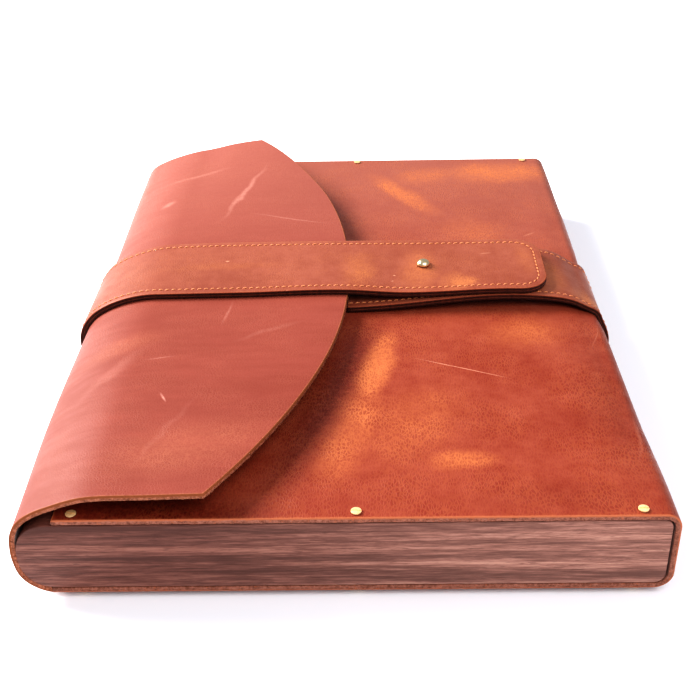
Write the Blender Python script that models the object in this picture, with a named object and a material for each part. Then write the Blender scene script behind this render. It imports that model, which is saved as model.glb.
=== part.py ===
"""Leather and walnut flap case for a photo album, closed by a strap and a brass stud.

Two walnut bars hold a leather wrap: top panel, right side, underside. At the left the leather
curls up round the bars and over the top as a flap with a bowed free edge. A two-layer strap is
belted round the case, rides over the flap, and buttons on a brass stud.

X runs along the bars, Y from the front bar to the rear bar, Z up. Sizes are in metres.
"""

import math

import bmesh
import bpy

MM = 0.001

# ---- driving dimensions ------------------------------------------------------------------
GAP = 0.3 * MM                      # play left between pieces that touch
LEATHER = 2.2 * MM                  # thickness of the case leather
STRAP_PLY = 1.25 * MM               # thickness of each of the strap's two layers

BAR_LENGTH = 235.0 * MM
BAR_WIDTH = 16.0 * MM
CASE_HEIGHT = 33.9 * MM             # leather underside to leather top, over a bar
CASE_DEPTH = 344.8 * MM             # front bar's face to rear bar's face
BAR_NOSE = 12.5 * MM                # length of the rounded left end
BAR_NOSE_POWER = 2.2                # how square that rounding is: 2 is an ellipse
BAR_TOP_RADIUS = 3.5 * MM
BAR_FOOT_RADIUS = 4.2 * MM

PANEL_START = 15.0 * MM             # left cut edge of the top panel, from the bar's left end
SIDE_CLEARANCE = 0.8 * MM           # between the bar's right end and the leather
WRAP_TOP_RADIUS = 6.0 * MM
WRAP_FOOT_RADIUS = 7.0 * MM

CURL_X = 11.0 * MM                  # middle of the leather's curl round the left end
CURL_RADIUS = 18.0 * MM
SHOULDER_TURN = 145.0               # degrees of the curl before it eases off
SHOULDER_RADIUS = 51.2 * MM         # the easier bend that lays the flap down flat
FLAP_REACH = 119.5 * MM             # furthest point of the flap's bowed edge
FLAP_EDGE_RADIUS = 326.0 * MM

STRAP_WIDTH = 47.5 * MM
STRAP_FRONT = 152.5 * MM            # strap's front edge, from the front bar's face
STRAP_TIP = 215.0 * MM
STRAP_TIP_RADIUS = 14.0 * MM
BELT_END = 118.7 * MM               # where the lower end of the strap stops, under the flap
BELT_ARCH = 4.5 * MM                # how far that end bows up off the top panel
BELT_ARCH_SKEW = 1.6                # moves the top of the bow towards the right side

STUD_X = 155.2 * MM
STUD_Y = 175.6 * MM
STUD_HEAD_RADIUS = 3.15 * MM
STUD_HEAD_HEIGHT = 3.4 * MM
STUD_NECK_RADIUS = 1.8 * MM
STUD_BORE_RADIUS = 1.1 * MM
STUD_BASE_RADIUS = 3.5 * MM
STUD_BASE_THICKNESS = 1.0 * MM
STUD_STEM_LENGTH = 5.0 * MM
BUTTON_HOLE_SLIDE = 0.8 * MM        # extra length of the hole towards the strap's tip

SCREW_XS = (21.6 * MM, 123.0 * MM, 224.4 * MM)
SCREW_INSET = 3.4 * MM
SCREW_HEAD_RADIUS = 1.95 * MM
SCREW_HEAD_HEIGHT = 0.6 * MM
SCREW_SHANK_RADIUS = 1.1 * MM
SCREW_LENGTH = 12.0 * MM
SLOT_WIDTH = 0.45 * MM
SLOT_DEPTH = 0.35 * MM

# ---- hinges: the leather flexes here, and the strap's tail lifts here --------------------
FLAP_HINGES = 4
FIRST_HINGE_TURN = 20.0             # degrees round the curl, from the underside
HINGE_STEP = 40.0                   # degrees of curl between hinges, and each hinge's travel
TAIL_HINGE_X = 108.0 * MM

# ---- worked out from them ----------------------------------------------------------------
STRAP_THICKNESS = 2 * STRAP_PLY + GAP
BELT_STAND_OFF = GAP + STRAP_THICKNESS
CASE_FOOT = BELT_STAND_OFF          # the case lies on its strap
CASE_TOP = CASE_FOOT + CASE_HEIGHT
BAR_FOOT = CASE_FOOT + LEATHER + GAP
BAR_TOP = CASE_TOP - LEATHER - GAP
WRAP_RIGHT = BAR_LENGTH + SIDE_CLEARANCE + LEATHER
CURL_Z = CASE_FOOT + CURL_RADIUS
PIVOT_RADIUS = CURL_RADIUS + GAP / 2
LEFTMOST = CURL_X - CURL_RADIUS - BELT_STAND_OFF
RIGHTMOST = WRAP_RIGHT + BELT_STAND_OFF
SHIFT_X = -(LEFTMOST + RIGHTMOST) / 2
SHIFT_Y = -CASE_DEPTH / 2
STRAP_REAR = STRAP_FRONT + STRAP_WIDTH

SHOULDER_X = CURL_X - (CURL_RADIUS - SHOULDER_RADIUS) * math.sin(math.radians(SHOULDER_TURN))
SHOULDER_Z = CURL_Z - (CURL_RADIUS - SHOULDER_RADIUS) * math.cos(math.radians(SHOULDER_TURN))
FLAP_TOP = SHOULDER_Z + SHOULDER_RADIUS
FLAP_EDGE_X = FLAP_REACH - FLAP_EDGE_RADIUS

# The strap's plies, each as (inner, outer) distance from the leather that it lies on.
LINING = (GAP, GAP + STRAP_PLY)
FACE = (2 * GAP + STRAP_PLY, BELT_STAND_OFF)

ARC_STEP = 7.5                      # degrees between points on a bend
BOW_STATIONS = 20                   # sections across the flap's bowed edge
TIP_POINTS = 8                      # points round each corner of the strap's tip
ROUND_SIDES = 24


# ---- materials ---------------------------------------------------------------------------
def make_material(name, colour, roughness, metallic=0.0):
    """A Principled material with one colour."""
    material = bpy.data.materials.new(name)
    material.use_nodes = True
    shader = material.node_tree.nodes["Principled BSDF"]
    shader.inputs["Base Color"].default_value = (*colour, 1.0)
    shader.inputs["Roughness"].default_value = roughness
    shader.inputs["Metallic"].default_value = metallic
    material.diffuse_color = (*colour, 1.0)
    return material


# ---- mesh helpers ------------------------------------------------------------------------
def add_object(name, bm, material, cutter=False):
    """Turns a bmesh, drawn from the bar's left front corner, into an object about the origin."""
    bmesh.ops.recalc_face_normals(bm, faces=bm.faces)
    bmesh.ops.translate(bm, verts=bm.verts, vec=(SHIFT_X, SHIFT_Y, 0.0))
    mesh = bpy.data.meshes.new(name)
    bm.to_mesh(mesh)
    bm.free()
    mesh.shade_smooth()
    mesh.set_sharp_from_angle(angle=math.radians(35))
    obj = bpy.data.objects.new(name, mesh)
    bpy.context.scene.collection.objects.link(obj)
    if cutter:
        obj.hide_render = True
        obj.display_type = "WIRE"
    else:
        mesh.materials.append(material)
    return obj


def cut(obj, cutter):
    """Subtracts the cutter from the object, and leaves the modifier live."""
    modifier = obj.modifiers.new("cut_" + cutter.name, "BOOLEAN")
    modifier.operation = "DIFFERENCE"
    modifier.solver = "EXACT"
    modifier.object = cutter


def set_origin(obj, x, z):
    """Puts the object's origin on a hinge line that runs along Y, without moving its mesh."""
    offset = (x + SHIFT_X, 0.0, z)
    for vertex in obj.data.vertices:
        vertex.co.x -= offset[0]
        vertex.co.z -= offset[2]
    obj.location = offset


def arc(cx, cz, radius, start, end):
    """Points on an arc in the XZ plane, in degrees anticlockwise from +X."""
    count = max(2, math.ceil(abs(end - start) / ARC_STEP) + 1)
    angles = [math.radians(start + (end - start) * i / (count - 1)) for i in range(count)]
    return [(cx + radius * math.cos(a), cz + radius * math.sin(a)) for a in angles]


def ribbon(name, outer, inner, material, y_low=0.0, y_high=CASE_DEPTH):
    """A sheet between two lines in the XZ plane. y_low and y_high may each be a list."""
    count = len(outer)
    lows = y_low if isinstance(y_low, list) else [y_low] * count
    highs = y_high if isinstance(y_high, list) else [y_high] * count
    bm = bmesh.new()
    rings = []
    for (xo, zo), (xi, zi), low, high in zip(outer, inner, lows, highs):
        corners = ((xo, low, zo), (xo, high, zo), (xi, high, zi), (xi, low, zi))
        rings.append([bm.verts.new(corner) for corner in corners])
    for a, b in zip(rings, rings[1:]):
        for i in range(4):
            j = (i + 1) % 4
            bm.faces.new((a[i], a[j], b[j], b[i]))
    bm.faces.new(rings[0])
    bm.faces.new(reversed(rings[-1]))
    return add_object(name, bm, material)


def prism(name, outline, axis, low, high, material, cutter=False):
    """A closed outline drawn in XY (axis Z) or in XZ (axis Y), and extruded along that axis."""
    bm = bmesh.new()
    if axis == "Z":
        ends = [[bm.verts.new((x, y, h)) for x, y in outline] for h in (low, high)]
    else:
        ends = [[bm.verts.new((x, h, z)) for x, z in outline] for h in (low, high)]
    count = len(outline)
    for i in range(count):
        j = (i + 1) % count
        bm.faces.new((ends[0][i], ends[0][j], ends[1][j], ends[1][i]))
    for end in ends:
        bm.faces.new(end)
    return add_object(name, bm, material, cutter)


def turn(bm, profile, x, y, sides=ROUND_SIDES):
    """Adds a solid of revolution about a vertical axis. The profile starts and ends on it."""
    start = bm.verts.new((x, y, profile[0][1]))
    end = bm.verts.new((x, y, profile[-1][1]))
    rings = []
    for radius, z in profile[1:-1]:
        angles = [2 * math.pi * i / sides for i in range(sides)]
        rings.append([bm.verts.new((x + radius * math.cos(a), y + radius * math.sin(a), z))
                      for a in angles])
    for i in range(sides):
        j = (i + 1) % sides
        bm.faces.new((start, rings[0][i], rings[0][j]))
        for a, b in zip(rings, rings[1:]):
            bm.faces.new((a[i], b[i], b[j], a[j]))
        bm.faces.new((rings[-1][i], end, rings[-1][j]))


def turned(name, profile, x, y, material):
    """One turned piece as an object."""
    bm = bmesh.new()
    turn(bm, profile, x, y)
    return add_object(name, bm, material)


# ---- outlines of the leather -------------------------------------------------------------
def hinge_turn(index):
    """How far round the curl hinge number index lies, in degrees from the underside."""
    return FIRST_HINGE_TURN + HINGE_STEP * index


def curl_point(turn_degrees, radius):
    """The point a given turn round the curl, at a given radius."""
    angle = math.radians(turn_degrees)
    return CURL_X - radius * math.sin(angle), CURL_Z - radius * math.cos(angle)


def end_trim(radius):
    """Degrees taken off a strip's end: half the play, and outside the pivot line a wedge
    that lets neighbouring strips close up as the curl is straightened."""
    wedge = max(0.0, radius - PIVOT_RADIUS) * math.tan(math.radians(HINGE_STEP / 2))
    return math.degrees((GAP / 2 + wedge) / radius)


def curl_line(offset, first_turn, last_turn):
    """Points round the curl between two turns, offset outwards from the leather's outside."""
    radius = CURL_RADIUS + offset
    return arc(CURL_X, CURL_Z, radius, -90 - first_turn, -90 - last_turn)


def case_line(offset, start):
    """The outside of the wrap, offset outwards: right along the top from the given start
    points, down the right side, back along the underside, and up to the first hinge."""
    top_z = CASE_TOP - WRAP_TOP_RADIUS
    foot_z = CASE_FOOT + WRAP_FOOT_RADIUS
    line = list(start)
    line += arc(WRAP_RIGHT - WRAP_TOP_RADIUS, top_z, WRAP_TOP_RADIUS + offset, 90, 0)
    line += arc(WRAP_RIGHT - WRAP_FOOT_RADIUS, foot_z, WRAP_FOOT_RADIUS + offset, 0, -90)
    last_turn = hinge_turn(0) - end_trim(CURL_RADIUS + offset)
    return line + curl_line(offset, 0.0, last_turn)


def panel_start(offset):
    """Start of the top panel, at its cut edge."""
    return [(PANEL_START, CASE_TOP + offset)]


def belt_start(offset):
    """The lower end of the strap on the top panel, bowed up off it. Its height follows half a
    sine wave whose crest is moved to the right."""
    length = WRAP_RIGHT - WRAP_TOP_RADIUS - BELT_END
    points = []
    count = 18
    for i in range(count):
        share = i / count
        lift = BELT_ARCH * math.sin(math.pi * share ** BELT_ARCH_SKEW)
        points.append((BELT_END + length * share, CASE_TOP + offset + lift))
    return points


def strip_line(offset, index):
    """One strip of the curl, between hinge index and the next one."""
    trim = end_trim(CURL_RADIUS + offset)
    return curl_line(offset, hinge_turn(index) + trim, hinge_turn(index + 1) - trim)


def shoulder_line(offset):
    """From the last hinge over the shoulder to where the flap lies flat."""
    trim = end_trim(CURL_RADIUS + offset)
    first = curl_line(offset, hinge_turn(FLAP_HINGES - 1) + trim, SHOULDER_TURN)
    ease = arc(SHOULDER_X, SHOULDER_Z, SHOULDER_RADIUS + offset, 270 - SHOULDER_TURN, 90)
    return first + ease[1:]


def bow_half_width(x):
    """Half the flap's width along Y at a given x, where its bowed edge cuts across."""
    return math.sqrt(max(0.0, FLAP_EDGE_RADIUS ** 2 - (x - FLAP_EDGE_X) ** 2))


# ---- pieces ------------------------------------------------------------------------------
def bar_outline():
    """The bar's face: a squarish round nose at the left, small radii at the right."""
    middle = (BAR_TOP + BAR_FOOT) / 2
    half = (BAR_TOP - BAR_FOOT) / 2
    nose = []
    for i in range(17):
        angle = math.radians(90 + 180 * i / 16)
        across = abs(math.cos(angle)) ** (2 / BAR_NOSE_POWER)
        up = math.copysign(abs(math.sin(angle)) ** (2 / BAR_NOSE_POWER), math.sin(angle))
        nose.append((BAR_NOSE * (1 - across), middle + half * up))
    foot = arc(BAR_LENGTH - BAR_FOOT_RADIUS, BAR_FOOT + BAR_FOOT_RADIUS, BAR_FOOT_RADIUS, -90, 0)
    top = arc(BAR_LENGTH - BAR_TOP_RADIUS, BAR_TOP - BAR_TOP_RADIUS, BAR_TOP_RADIUS, 0, 90)
    return nose + foot + top


def screw_ys():
    """Distance of the front and of the rear row of screws from the front bar's face."""
    return {"front": SCREW_INSET, "rear": CASE_DEPTH - SCREW_INSET}


def screw_hole_cutter(y, name):
    """Clearance holes right through the case for one row of screws."""
    bm = bmesh.new()
    radius = SCREW_SHANK_RADIUS + GAP
    low, high = CASE_FOOT - 1 * MM, CASE_TOP + 1 * MM
    for x in SCREW_XS:
        turn(bm, [(0, low), (radius, low), (radius, high), (0, high)], x, y, 16)
    return add_object(name, bm, None, cutter=True)


def make_bars(walnut, cutters):
    """The two walnut end bars, drilled for the screws."""
    rows = {"front": (0.0, BAR_WIDTH), "rear": (CASE_DEPTH - BAR_WIDTH, CASE_DEPTH)}
    for name, (low, high) in rows.items():
        bar = prism(name + "_end_bar", bar_outline(), "Y", low, high, walnut)
        cut(bar, cutters[name])


def make_wrap(leather, cutters):
    """Top panel, right side and underside in one piece of leather, up to the first hinge."""
    outer = case_line(0.0, panel_start(0.0))
    inner = case_line(-LEATHER, panel_start(-LEATHER))
    wrap = ribbon("leather_wrap", outer, inner, leather)
    for cutter in cutters.values():
        cut(wrap, cutter)


def screw_profile(from_above):
    """The turned shape of a wood screw, as (radius, z), and the height of its crown."""
    face = CASE_TOP + GAP if from_above else CASE_FOOT - GAP
    up = 1 if from_above else -1
    crown = face + up * SCREW_HEAD_HEIGHT
    tip = face - up * SCREW_LENGTH
    profile = [
        (0, crown),
        (SCREW_HEAD_RADIUS * 0.8, crown),
        (SCREW_HEAD_RADIUS, face + up * SCREW_HEAD_HEIGHT * 0.5),
        (SCREW_HEAD_RADIUS, face),
        (SCREW_SHANK_RADIUS, face),
        (SCREW_SHANK_RADIUS, tip + up * 3 * MM),
        (0, tip),
    ]
    return profile, crown


def make_screws(row, y, brass, from_above):
    """Three slotted brass wood screws in one row."""
    profile, crown = screw_profile(from_above)
    side = "top" if from_above else "bottom"
    for number, x in enumerate(SCREW_XS, start=1):
        name = f"{row}_{side}_screw_{number}"
        screw = turned(name, profile, x, y, brass)
        reach = 1.5 * SCREW_HEAD_RADIUS
        slot = [(x - reach, y - SLOT_WIDTH / 2), (x + reach, y - SLOT_WIDTH / 2),
                (x + reach, y + SLOT_WIDTH / 2), (x - reach, y + SLOT_WIDTH / 2)]
        cut(screw, prism(name + "_slot", slot, "Z", crown - SLOT_DEPTH, crown + SLOT_DEPTH,
                         None, cutter=True))


def make_belt(leather, lining, stud_cutter):
    """The fixed run of the strap: under the case, up the right side and over the panel."""
    for name, (low, high), material in (("face", FACE, leather), ("lining", LINING, lining)):
        outer = case_line(high, belt_start(high))
        inner = case_line(low, belt_start(low))
        ply = ribbon("strap_belt_" + name, outer, inner, material, STRAP_FRONT, STRAP_REAR)
        cut(ply, stud_cutter)


def make_flap(leather):
    """The strips that curl round the left end, and the leaf with its bowed edge."""
    for index in range(FLAP_HINGES - 1):
        outer, inner = strip_line(0.0, index), strip_line(-LEATHER, index)
        strip = ribbon(f"flap_curl_{index + 1}", outer, inner, leather)
        set_origin(strip, *curl_point(hinge_turn(index), PIVOT_RADIUS))

    outer, inner = shoulder_line(0.0), shoulder_line(-LEATHER)
    halves = [CASE_DEPTH / 2] * len(outer)
    corner = math.asin(CASE_DEPTH / 2 / FLAP_EDGE_RADIUS)
    for i in range(BOW_STATIONS):
        angle = corner * (1 - i / BOW_STATIONS)
        x = FLAP_EDGE_X + FLAP_EDGE_RADIUS * math.cos(angle)
        outer.append((x, FLAP_TOP))
        inner.append((x, FLAP_TOP - LEATHER))
        halves.append(bow_half_width(x))
    # The very tip of the bow is a short straight edge, so that the sheet has no zero width.
    outer.append((FLAP_REACH, FLAP_TOP))
    inner.append((FLAP_REACH, FLAP_TOP - LEATHER))
    halves.append(2 * MM)
    lows = [CASE_DEPTH / 2 - half for half in halves]
    highs = [CASE_DEPTH / 2 + half for half in halves]
    leaf = ribbon("flap_leaf", outer, inner, leather, lows, highs)
    set_origin(leaf, *curl_point(hinge_turn(FLAP_HINGES - 1), PIVOT_RADIUS))


def make_strap_over_flap(leather, lining):
    """The strap's two plies on the curl and on the flap's leaf, cut at each hinge."""
    span = (STRAP_FRONT, STRAP_REAR)
    for name, (low, high), material in (("face", FACE, leather), ("lining", LINING, lining)):
        for index in range(FLAP_HINGES - 1):
            outer, inner = strip_line(high, index), strip_line(low, index)
            ply = ribbon(f"strap_curl_{index + 1}_{name}", outer, inner, material, *span)
            set_origin(ply, *curl_point(hinge_turn(index), PIVOT_RADIUS))
        end = TAIL_HINGE_X - GAP / 2
        outer = shoulder_line(high) + [(end, FLAP_TOP + high)]
        inner = shoulder_line(low) + [(end, FLAP_TOP + low)]
        ply = ribbon("strap_over_flap_" + name, outer, inner, material, *span)
        set_origin(ply, *curl_point(hinge_turn(FLAP_HINGES - 1), PIVOT_RADIUS))


def tail_outline():
    """The free end of the strap from above, with a rounded tip."""
    start = TAIL_HINGE_X + GAP / 2
    inset = STRAP_TIP_RADIUS
    outline = [(start, STRAP_REAR), (start, STRAP_FRONT)]
    for y, first in ((STRAP_FRONT + inset, -90), (STRAP_REAR - inset, 0)):
        for i in range(TIP_POINTS + 1):
            angle = math.radians(first + 90 * i / TIP_POINTS)
            x = STRAP_TIP - inset + inset * math.cos(angle)
            outline.append((x, y + inset * math.sin(angle)))
    return outline


def button_hole_outline():
    """The buttonhole from above: round, and a little longer towards the strap's tip."""
    radius = STUD_HEAD_RADIUS + 1.5 * GAP
    outline = []
    for first, shift in ((90, 0.0), (-90, BUTTON_HOLE_SLIDE)):
        for i in range(9):
            angle = math.radians(first + 180 * i / 8)
            x = STUD_X + shift + radius * math.cos(angle)
            outline.append((x, STUD_Y + radius * math.sin(angle)))
    return outline


def make_tail(leather, lining):
    """The free end of the strap, which lifts off the stud."""
    low, high = FLAP_TOP, FLAP_TOP + BELT_STAND_OFF + GAP
    hole = prism("button_hole_cutter", button_hole_outline(), "Z", low, high, None, cutter=True)
    for name, (low, high), material in (("face", FACE, leather), ("lining", LINING, lining)):
        ply = prism("strap_tail_" + name, tail_outline(), "Z",
                    FLAP_TOP + low, FLAP_TOP + high, material)
        cut(ply, hole)
        set_origin(ply, TAIL_HINGE_X, FLAP_TOP + BELT_STAND_OFF)


def make_stud(brass):
    """A round-headed stud and the screw in its back, clamped on the lower strap."""
    share = (STUD_X - BELT_END) / (WRAP_RIGHT - WRAP_TOP_RADIUS - BELT_END)
    lift = BELT_ARCH * math.sin(math.pi * share ** BELT_ARCH_SKEW)
    base_top = CASE_TOP + lift - GAP
    base_foot = base_top - STUD_BASE_THICKNESS
    neck_foot = base_top + GAP
    head_foot = FLAP_TOP + BELT_STAND_OFF + GAP
    head_middle = head_foot + STUD_HEAD_HEIGHT * 0.45
    bore_top = base_foot + STUD_STEM_LENGTH + 2 * GAP

    profile = [
        (0, bore_top),
        (STUD_BORE_RADIUS, bore_top),
        (STUD_BORE_RADIUS, neck_foot),
        (STUD_NECK_RADIUS, neck_foot),
        (STUD_NECK_RADIUS, head_foot),
    ]
    for degrees in range(-60, 90, 15):
        angle = math.radians(degrees)
        height = STUD_HEAD_HEIGHT * (0.45 if degrees < 0 else 0.55)
        profile.append((STUD_HEAD_RADIUS * math.cos(angle),
                        head_middle + height * math.sin(angle)))
    profile.append((0, head_foot + STUD_HEAD_HEIGHT))
    turned("stud_button", profile, STUD_X, STUD_Y, brass)

    stem = STUD_BORE_RADIUS - GAP
    profile = [
        (0, base_foot),
        (STUD_BASE_RADIUS, base_foot),
        (STUD_BASE_RADIUS, base_top),
        (stem, base_top),
        (stem, base_foot + STUD_STEM_LENGTH),
        (0, base_foot + STUD_STEM_LENGTH),
    ]
    turned("stud_base_screw", profile, STUD_X, STUD_Y, brass)


def main():
    """Clears the scene and builds every piece."""
    for obj in list(bpy.data.objects):
        bpy.data.objects.remove(obj, do_unlink=True)

    walnut = make_material("walnut", (0.20, 0.095, 0.080), 0.55)
    case_leather = make_material("case_leather", (0.50, 0.085, 0.035), 0.5)
    flap_leather = make_material("flap_leather", (0.56, 0.12, 0.072), 0.55)
    strap_leather = make_material("strap_leather", (0.52, 0.13, 0.062), 0.5)
    strap_lining = make_material("strap_lining", (0.20, 0.065, 0.040), 0.75)
    brass = make_material("brass", (0.82, 0.60, 0.24), 0.25, 1.0)

    rows = screw_ys()
    cutters = {row: screw_hole_cutter(y, row + "_screw_holes") for row, y in rows.items()}
    make_bars(walnut, cutters)
    make_wrap(case_leather, cutters)
    for row, y in rows.items():
        make_screws(row, y, brass, from_above=True)
        make_screws(row, y, brass, from_above=False)

    neck = STUD_NECK_RADIUS + GAP
    bm = bmesh.new()
    turn(bm, [(0, CASE_TOP), (neck, CASE_TOP), (neck, FLAP_TOP), (0, FLAP_TOP)], STUD_X, STUD_Y)
    stud_cutter = add_object("stud_hole_cutter", bm, None, cutter=True)
    make_belt(strap_leather, strap_lining, stud_cutter)
    make_flap(flap_leather)
    make_strap_over_flap(strap_leather, strap_lining)
    make_tail(strap_leather, strap_lining)
    make_stud(brass)


main()
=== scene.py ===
"""Looks of a leather and walnut flap case for an album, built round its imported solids.

Every piece of leather is a surface over two parameters: how far along a profile line in the XZ
plane, and how far across the case from the front. The wrap, the flap, the strap, its stitches
and the raw cut edges are all worked out on those two, so they follow one another.
"""

import logging
import math
from dataclasses import dataclass
from enum import Enum

import bpy
import numpy as np
from mathutils import Matrix, Vector


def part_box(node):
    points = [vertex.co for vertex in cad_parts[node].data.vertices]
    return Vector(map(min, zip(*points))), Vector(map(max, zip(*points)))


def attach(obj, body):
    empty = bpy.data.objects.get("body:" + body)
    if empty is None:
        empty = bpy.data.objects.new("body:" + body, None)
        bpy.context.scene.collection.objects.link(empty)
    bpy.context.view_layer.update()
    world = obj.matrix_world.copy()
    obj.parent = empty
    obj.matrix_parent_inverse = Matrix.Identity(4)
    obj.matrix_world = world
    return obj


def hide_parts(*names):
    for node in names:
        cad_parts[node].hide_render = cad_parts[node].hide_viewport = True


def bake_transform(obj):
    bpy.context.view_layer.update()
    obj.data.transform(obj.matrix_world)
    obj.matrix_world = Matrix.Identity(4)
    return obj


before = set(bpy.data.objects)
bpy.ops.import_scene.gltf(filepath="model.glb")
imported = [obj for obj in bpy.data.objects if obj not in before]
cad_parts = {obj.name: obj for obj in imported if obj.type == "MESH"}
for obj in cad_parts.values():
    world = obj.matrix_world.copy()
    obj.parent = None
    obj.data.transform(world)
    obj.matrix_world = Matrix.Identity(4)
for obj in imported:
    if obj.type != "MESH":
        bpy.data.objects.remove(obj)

LOG = logging.getLogger("flap_case")
MM = 0.001
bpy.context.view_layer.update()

Array = np.ndarray
Colour = tuple[float, float, float]
Socket = bpy.types.NodeSocket


# ---- small tools -------------------------------------------------------------------------
def tone(red: int, green: int, blue: int) -> Colour:
    """A colour given as display values from 0 to 255, turned into the linear one."""
    shares = [value / 255 for value in (red, green, blue)]
    return tuple(v / 12.92 if v <= 0.04045 else ((v + 0.055) / 1.055) ** 2.4 for v in shares)


def ease(value: Array, low: float, high: float) -> Array:
    """Smooth step: 0 at low, 1 at high, with no corner at either end."""
    share = np.clip((value - low) / (high - low), 0.0, 1.0)
    return share * share * (3 - 2 * share)


def hermite(knots: Array, values: Array, at: Array) -> Array:
    """Smooth curve through values at uneven knots: cubic Hermite pieces, central slopes.

    Args:
        knots: rising places, one for each value.
        values: one number for each knot, or one array shaped like `at` for each knot.
        at: where the curve is wanted.

    Returns:
        The curve's height at each place.
    """
    slopes = np.gradient(values, knots, axis=0)
    at = np.clip(at, knots[0], knots[-1])
    index = np.clip(np.searchsorted(knots, at, side="right") - 1, 0, len(knots) - 2)
    span = knots[index + 1] - knots[index]
    t = (at - knots[index]) / span

    def take(table: Array, which: Array) -> Array:
        """The table's entry for each place."""
        return table[which] if table.ndim == 1 else np.take_along_axis(table, which[None], 0)[0]

    low, high = take(values, index), take(values, index + 1)
    rise_low, rise_high = take(slopes, index) * span, take(slopes, index + 1) * span
    bend = 2 * low - 2 * high + rise_low + rise_high
    return low + t * (rise_low + t * (3 * (high - low) - 2 * rise_low - rise_high + t * bend))


def unit(vectors: Array) -> Array:
    """The vectors at length 1."""
    return vectors / np.maximum(np.linalg.norm(vectors, axis=-1, keepdims=True), 1e-12)


def steps(*stops: tuple[float, float]) -> Array:
    """Rising places with a chosen spacing between stops.

    Args:
        stops: (place, spacing from here to the next stop) pairs.

    Returns:
        All the places, each stop among them.
    """
    runs = [np.linspace(a, b, max(2, round(abs(b - a) / gap) + 1))[:-1]
            for (a, gap), (b, _) in zip(stops, stops[1:])]
    return np.concatenate([*runs, [stops[-1][0]]])


def new_piece(name: str, points: Array, faces: list, materials: list, slots: Array | None = None,
              sharp: float = 50.0) -> bpy.types.Object:
    """Makes an object at the origin from points in the frame.

    Args:
        name: the piece's name.
        points: (n, 3) vertices.
        faces: lists of vertex numbers, turning left seen from outside.
        materials: the piece's materials.
        slots: material number for each face.
        sharp: edges that turn by more degrees than this stay sharp.

    Returns:
        The new object.
    """
    mesh = bpy.data.meshes.new(name)
    mesh.from_pydata(points.tolist(), [], faces)
    for material in materials:
        mesh.materials.append(material)
    if slots is not None:
        mesh.polygons.foreach_set("material_index", np.asarray(slots, np.int32))
    mesh.shade_smooth()
    mesh.set_sharp_from_angle(angle=math.radians(sharp))
    mesh.update()
    obj = bpy.data.objects.new(name, mesh)
    bpy.context.scene.collection.objects.link(obj)
    return obj


def add_uv(obj: bpy.types.Object, per_vertex: Array) -> None:
    """Gives the piece a UV map in metres from one (u, v) for each vertex."""
    mesh = obj.data
    corner = np.zeros(len(mesh.loops), np.int32)
    mesh.loops.foreach_get("vertex_index", corner)
    layer = mesh.uv_layers.new(name="UVMap")
    layer.data.foreach_set("uv", per_vertex[corner].astype(np.float32).ravel())


def add_value(obj: bpy.types.Object, name: str, per_vertex: Array) -> None:
    """Gives the piece a float attribute, one value for each vertex."""
    layer = obj.data.attributes.new(name, "FLOAT", "POINT")
    layer.data.foreach_set("value", per_vertex.astype(np.float32))


# ---- the case's plan ---------------------------------------------------------------------
class Plan:
    """Places and sizes that the pieces share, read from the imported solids."""

    LEATHER = 2.2 * MM
    STRAP = 3.1 * MM                   # top of the strap above the leather it lies on
    PANEL_START = 15.0 * MM
    TOP_RADIUS = 6.0 * MM
    FOOT_RADIUS = 7.0 * MM
    CURL_RADIUS = 18.0 * MM
    CURL_FROM_LEFT = 11.0 * MM
    SHOULDER_TURN = 145.0
    SHOULDER_RADIUS = 51.2 * MM
    BOW_RADIUS = 326.0 * MM            # the flap's bowed edge
    TIP_RADIUS = 14.0 * MM
    DRAWN_IN = 1.8 * MM                # what the strap's bows take off its reach
    BELT_END = 118.7 * MM
    HINGE_TURNS = (20.0, 60.0, 100.0, 140.0)
    HINGE_SPREAD = 16.0                # degrees of curl that flex on each side of a hinge
    PIVOT_RADIUS = 18.15 * MM

    def __init__(self) -> None:
        """Reads the boxes of the bars, the wrap, the flap and the strap."""
        bar, rear_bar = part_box("front_end_bar"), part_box("rear_end_bar")
        wrap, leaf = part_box("leather_wrap"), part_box("flap_leaf")
        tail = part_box("strap_tail_face")
        self.left, self.front = bar[0].x, bar[0].y
        self.bar_right, self.bar_foot, self.bar_top = bar[1].x, bar[0].z, bar[1].z
        self.bar_width = bar[1].y - bar[0].y
        self.depth = rear_bar[1].y - self.front
        self.foot, self.top, self.right = wrap[0].z, wrap[1].z, wrap[1].x
        self.flap_top, self.flap_reach = leaf[1].z, leaf[1].x
        self.strap_front, self.strap_rear = tail[0].y - self.front, tail[1].y - self.front
        self.strap_middle = (self.strap_front + self.strap_rear) / 2
        self.strap_half = (self.strap_rear - self.strap_front) / 2
        self.strap_tip = tail[1].x - self.DRAWN_IN
        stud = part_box("stud_button")
        self.stud = ((stud[0].x + stud[1].x) / 2 - self.left,
                     (stud[0].y + stud[1].y) / 2 - self.front)
        self.curl = (self.left + self.CURL_FROM_LEFT, self.foot + self.CURL_RADIUS)
        self.curl_length = math.radians(self.SHOULDER_TURN) * self.CURL_RADIUS
        self.shoulder_length = math.radians(180 - self.SHOULDER_TURN) * self.SHOULDER_RADIUS
        ease_x = (self.SHOULDER_RADIUS - self.CURL_RADIUS) * math.sin(
            math.radians(self.SHOULDER_TURN))
        self.flat_start = self.curl[0] + ease_x

    def at_turn(self, degrees: float) -> float:
        """Distance along the flap's line at a turn of the curl."""
        return math.radians(degrees) * self.CURL_RADIUS

    def at_x(self, from_left: float) -> float:
        """Distance along the flap's line over its flat part, from a place along the bar."""
        return self.curl_length + self.shoulder_length + self.left + from_left - self.flat_start


PLAN = Plan()


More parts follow.
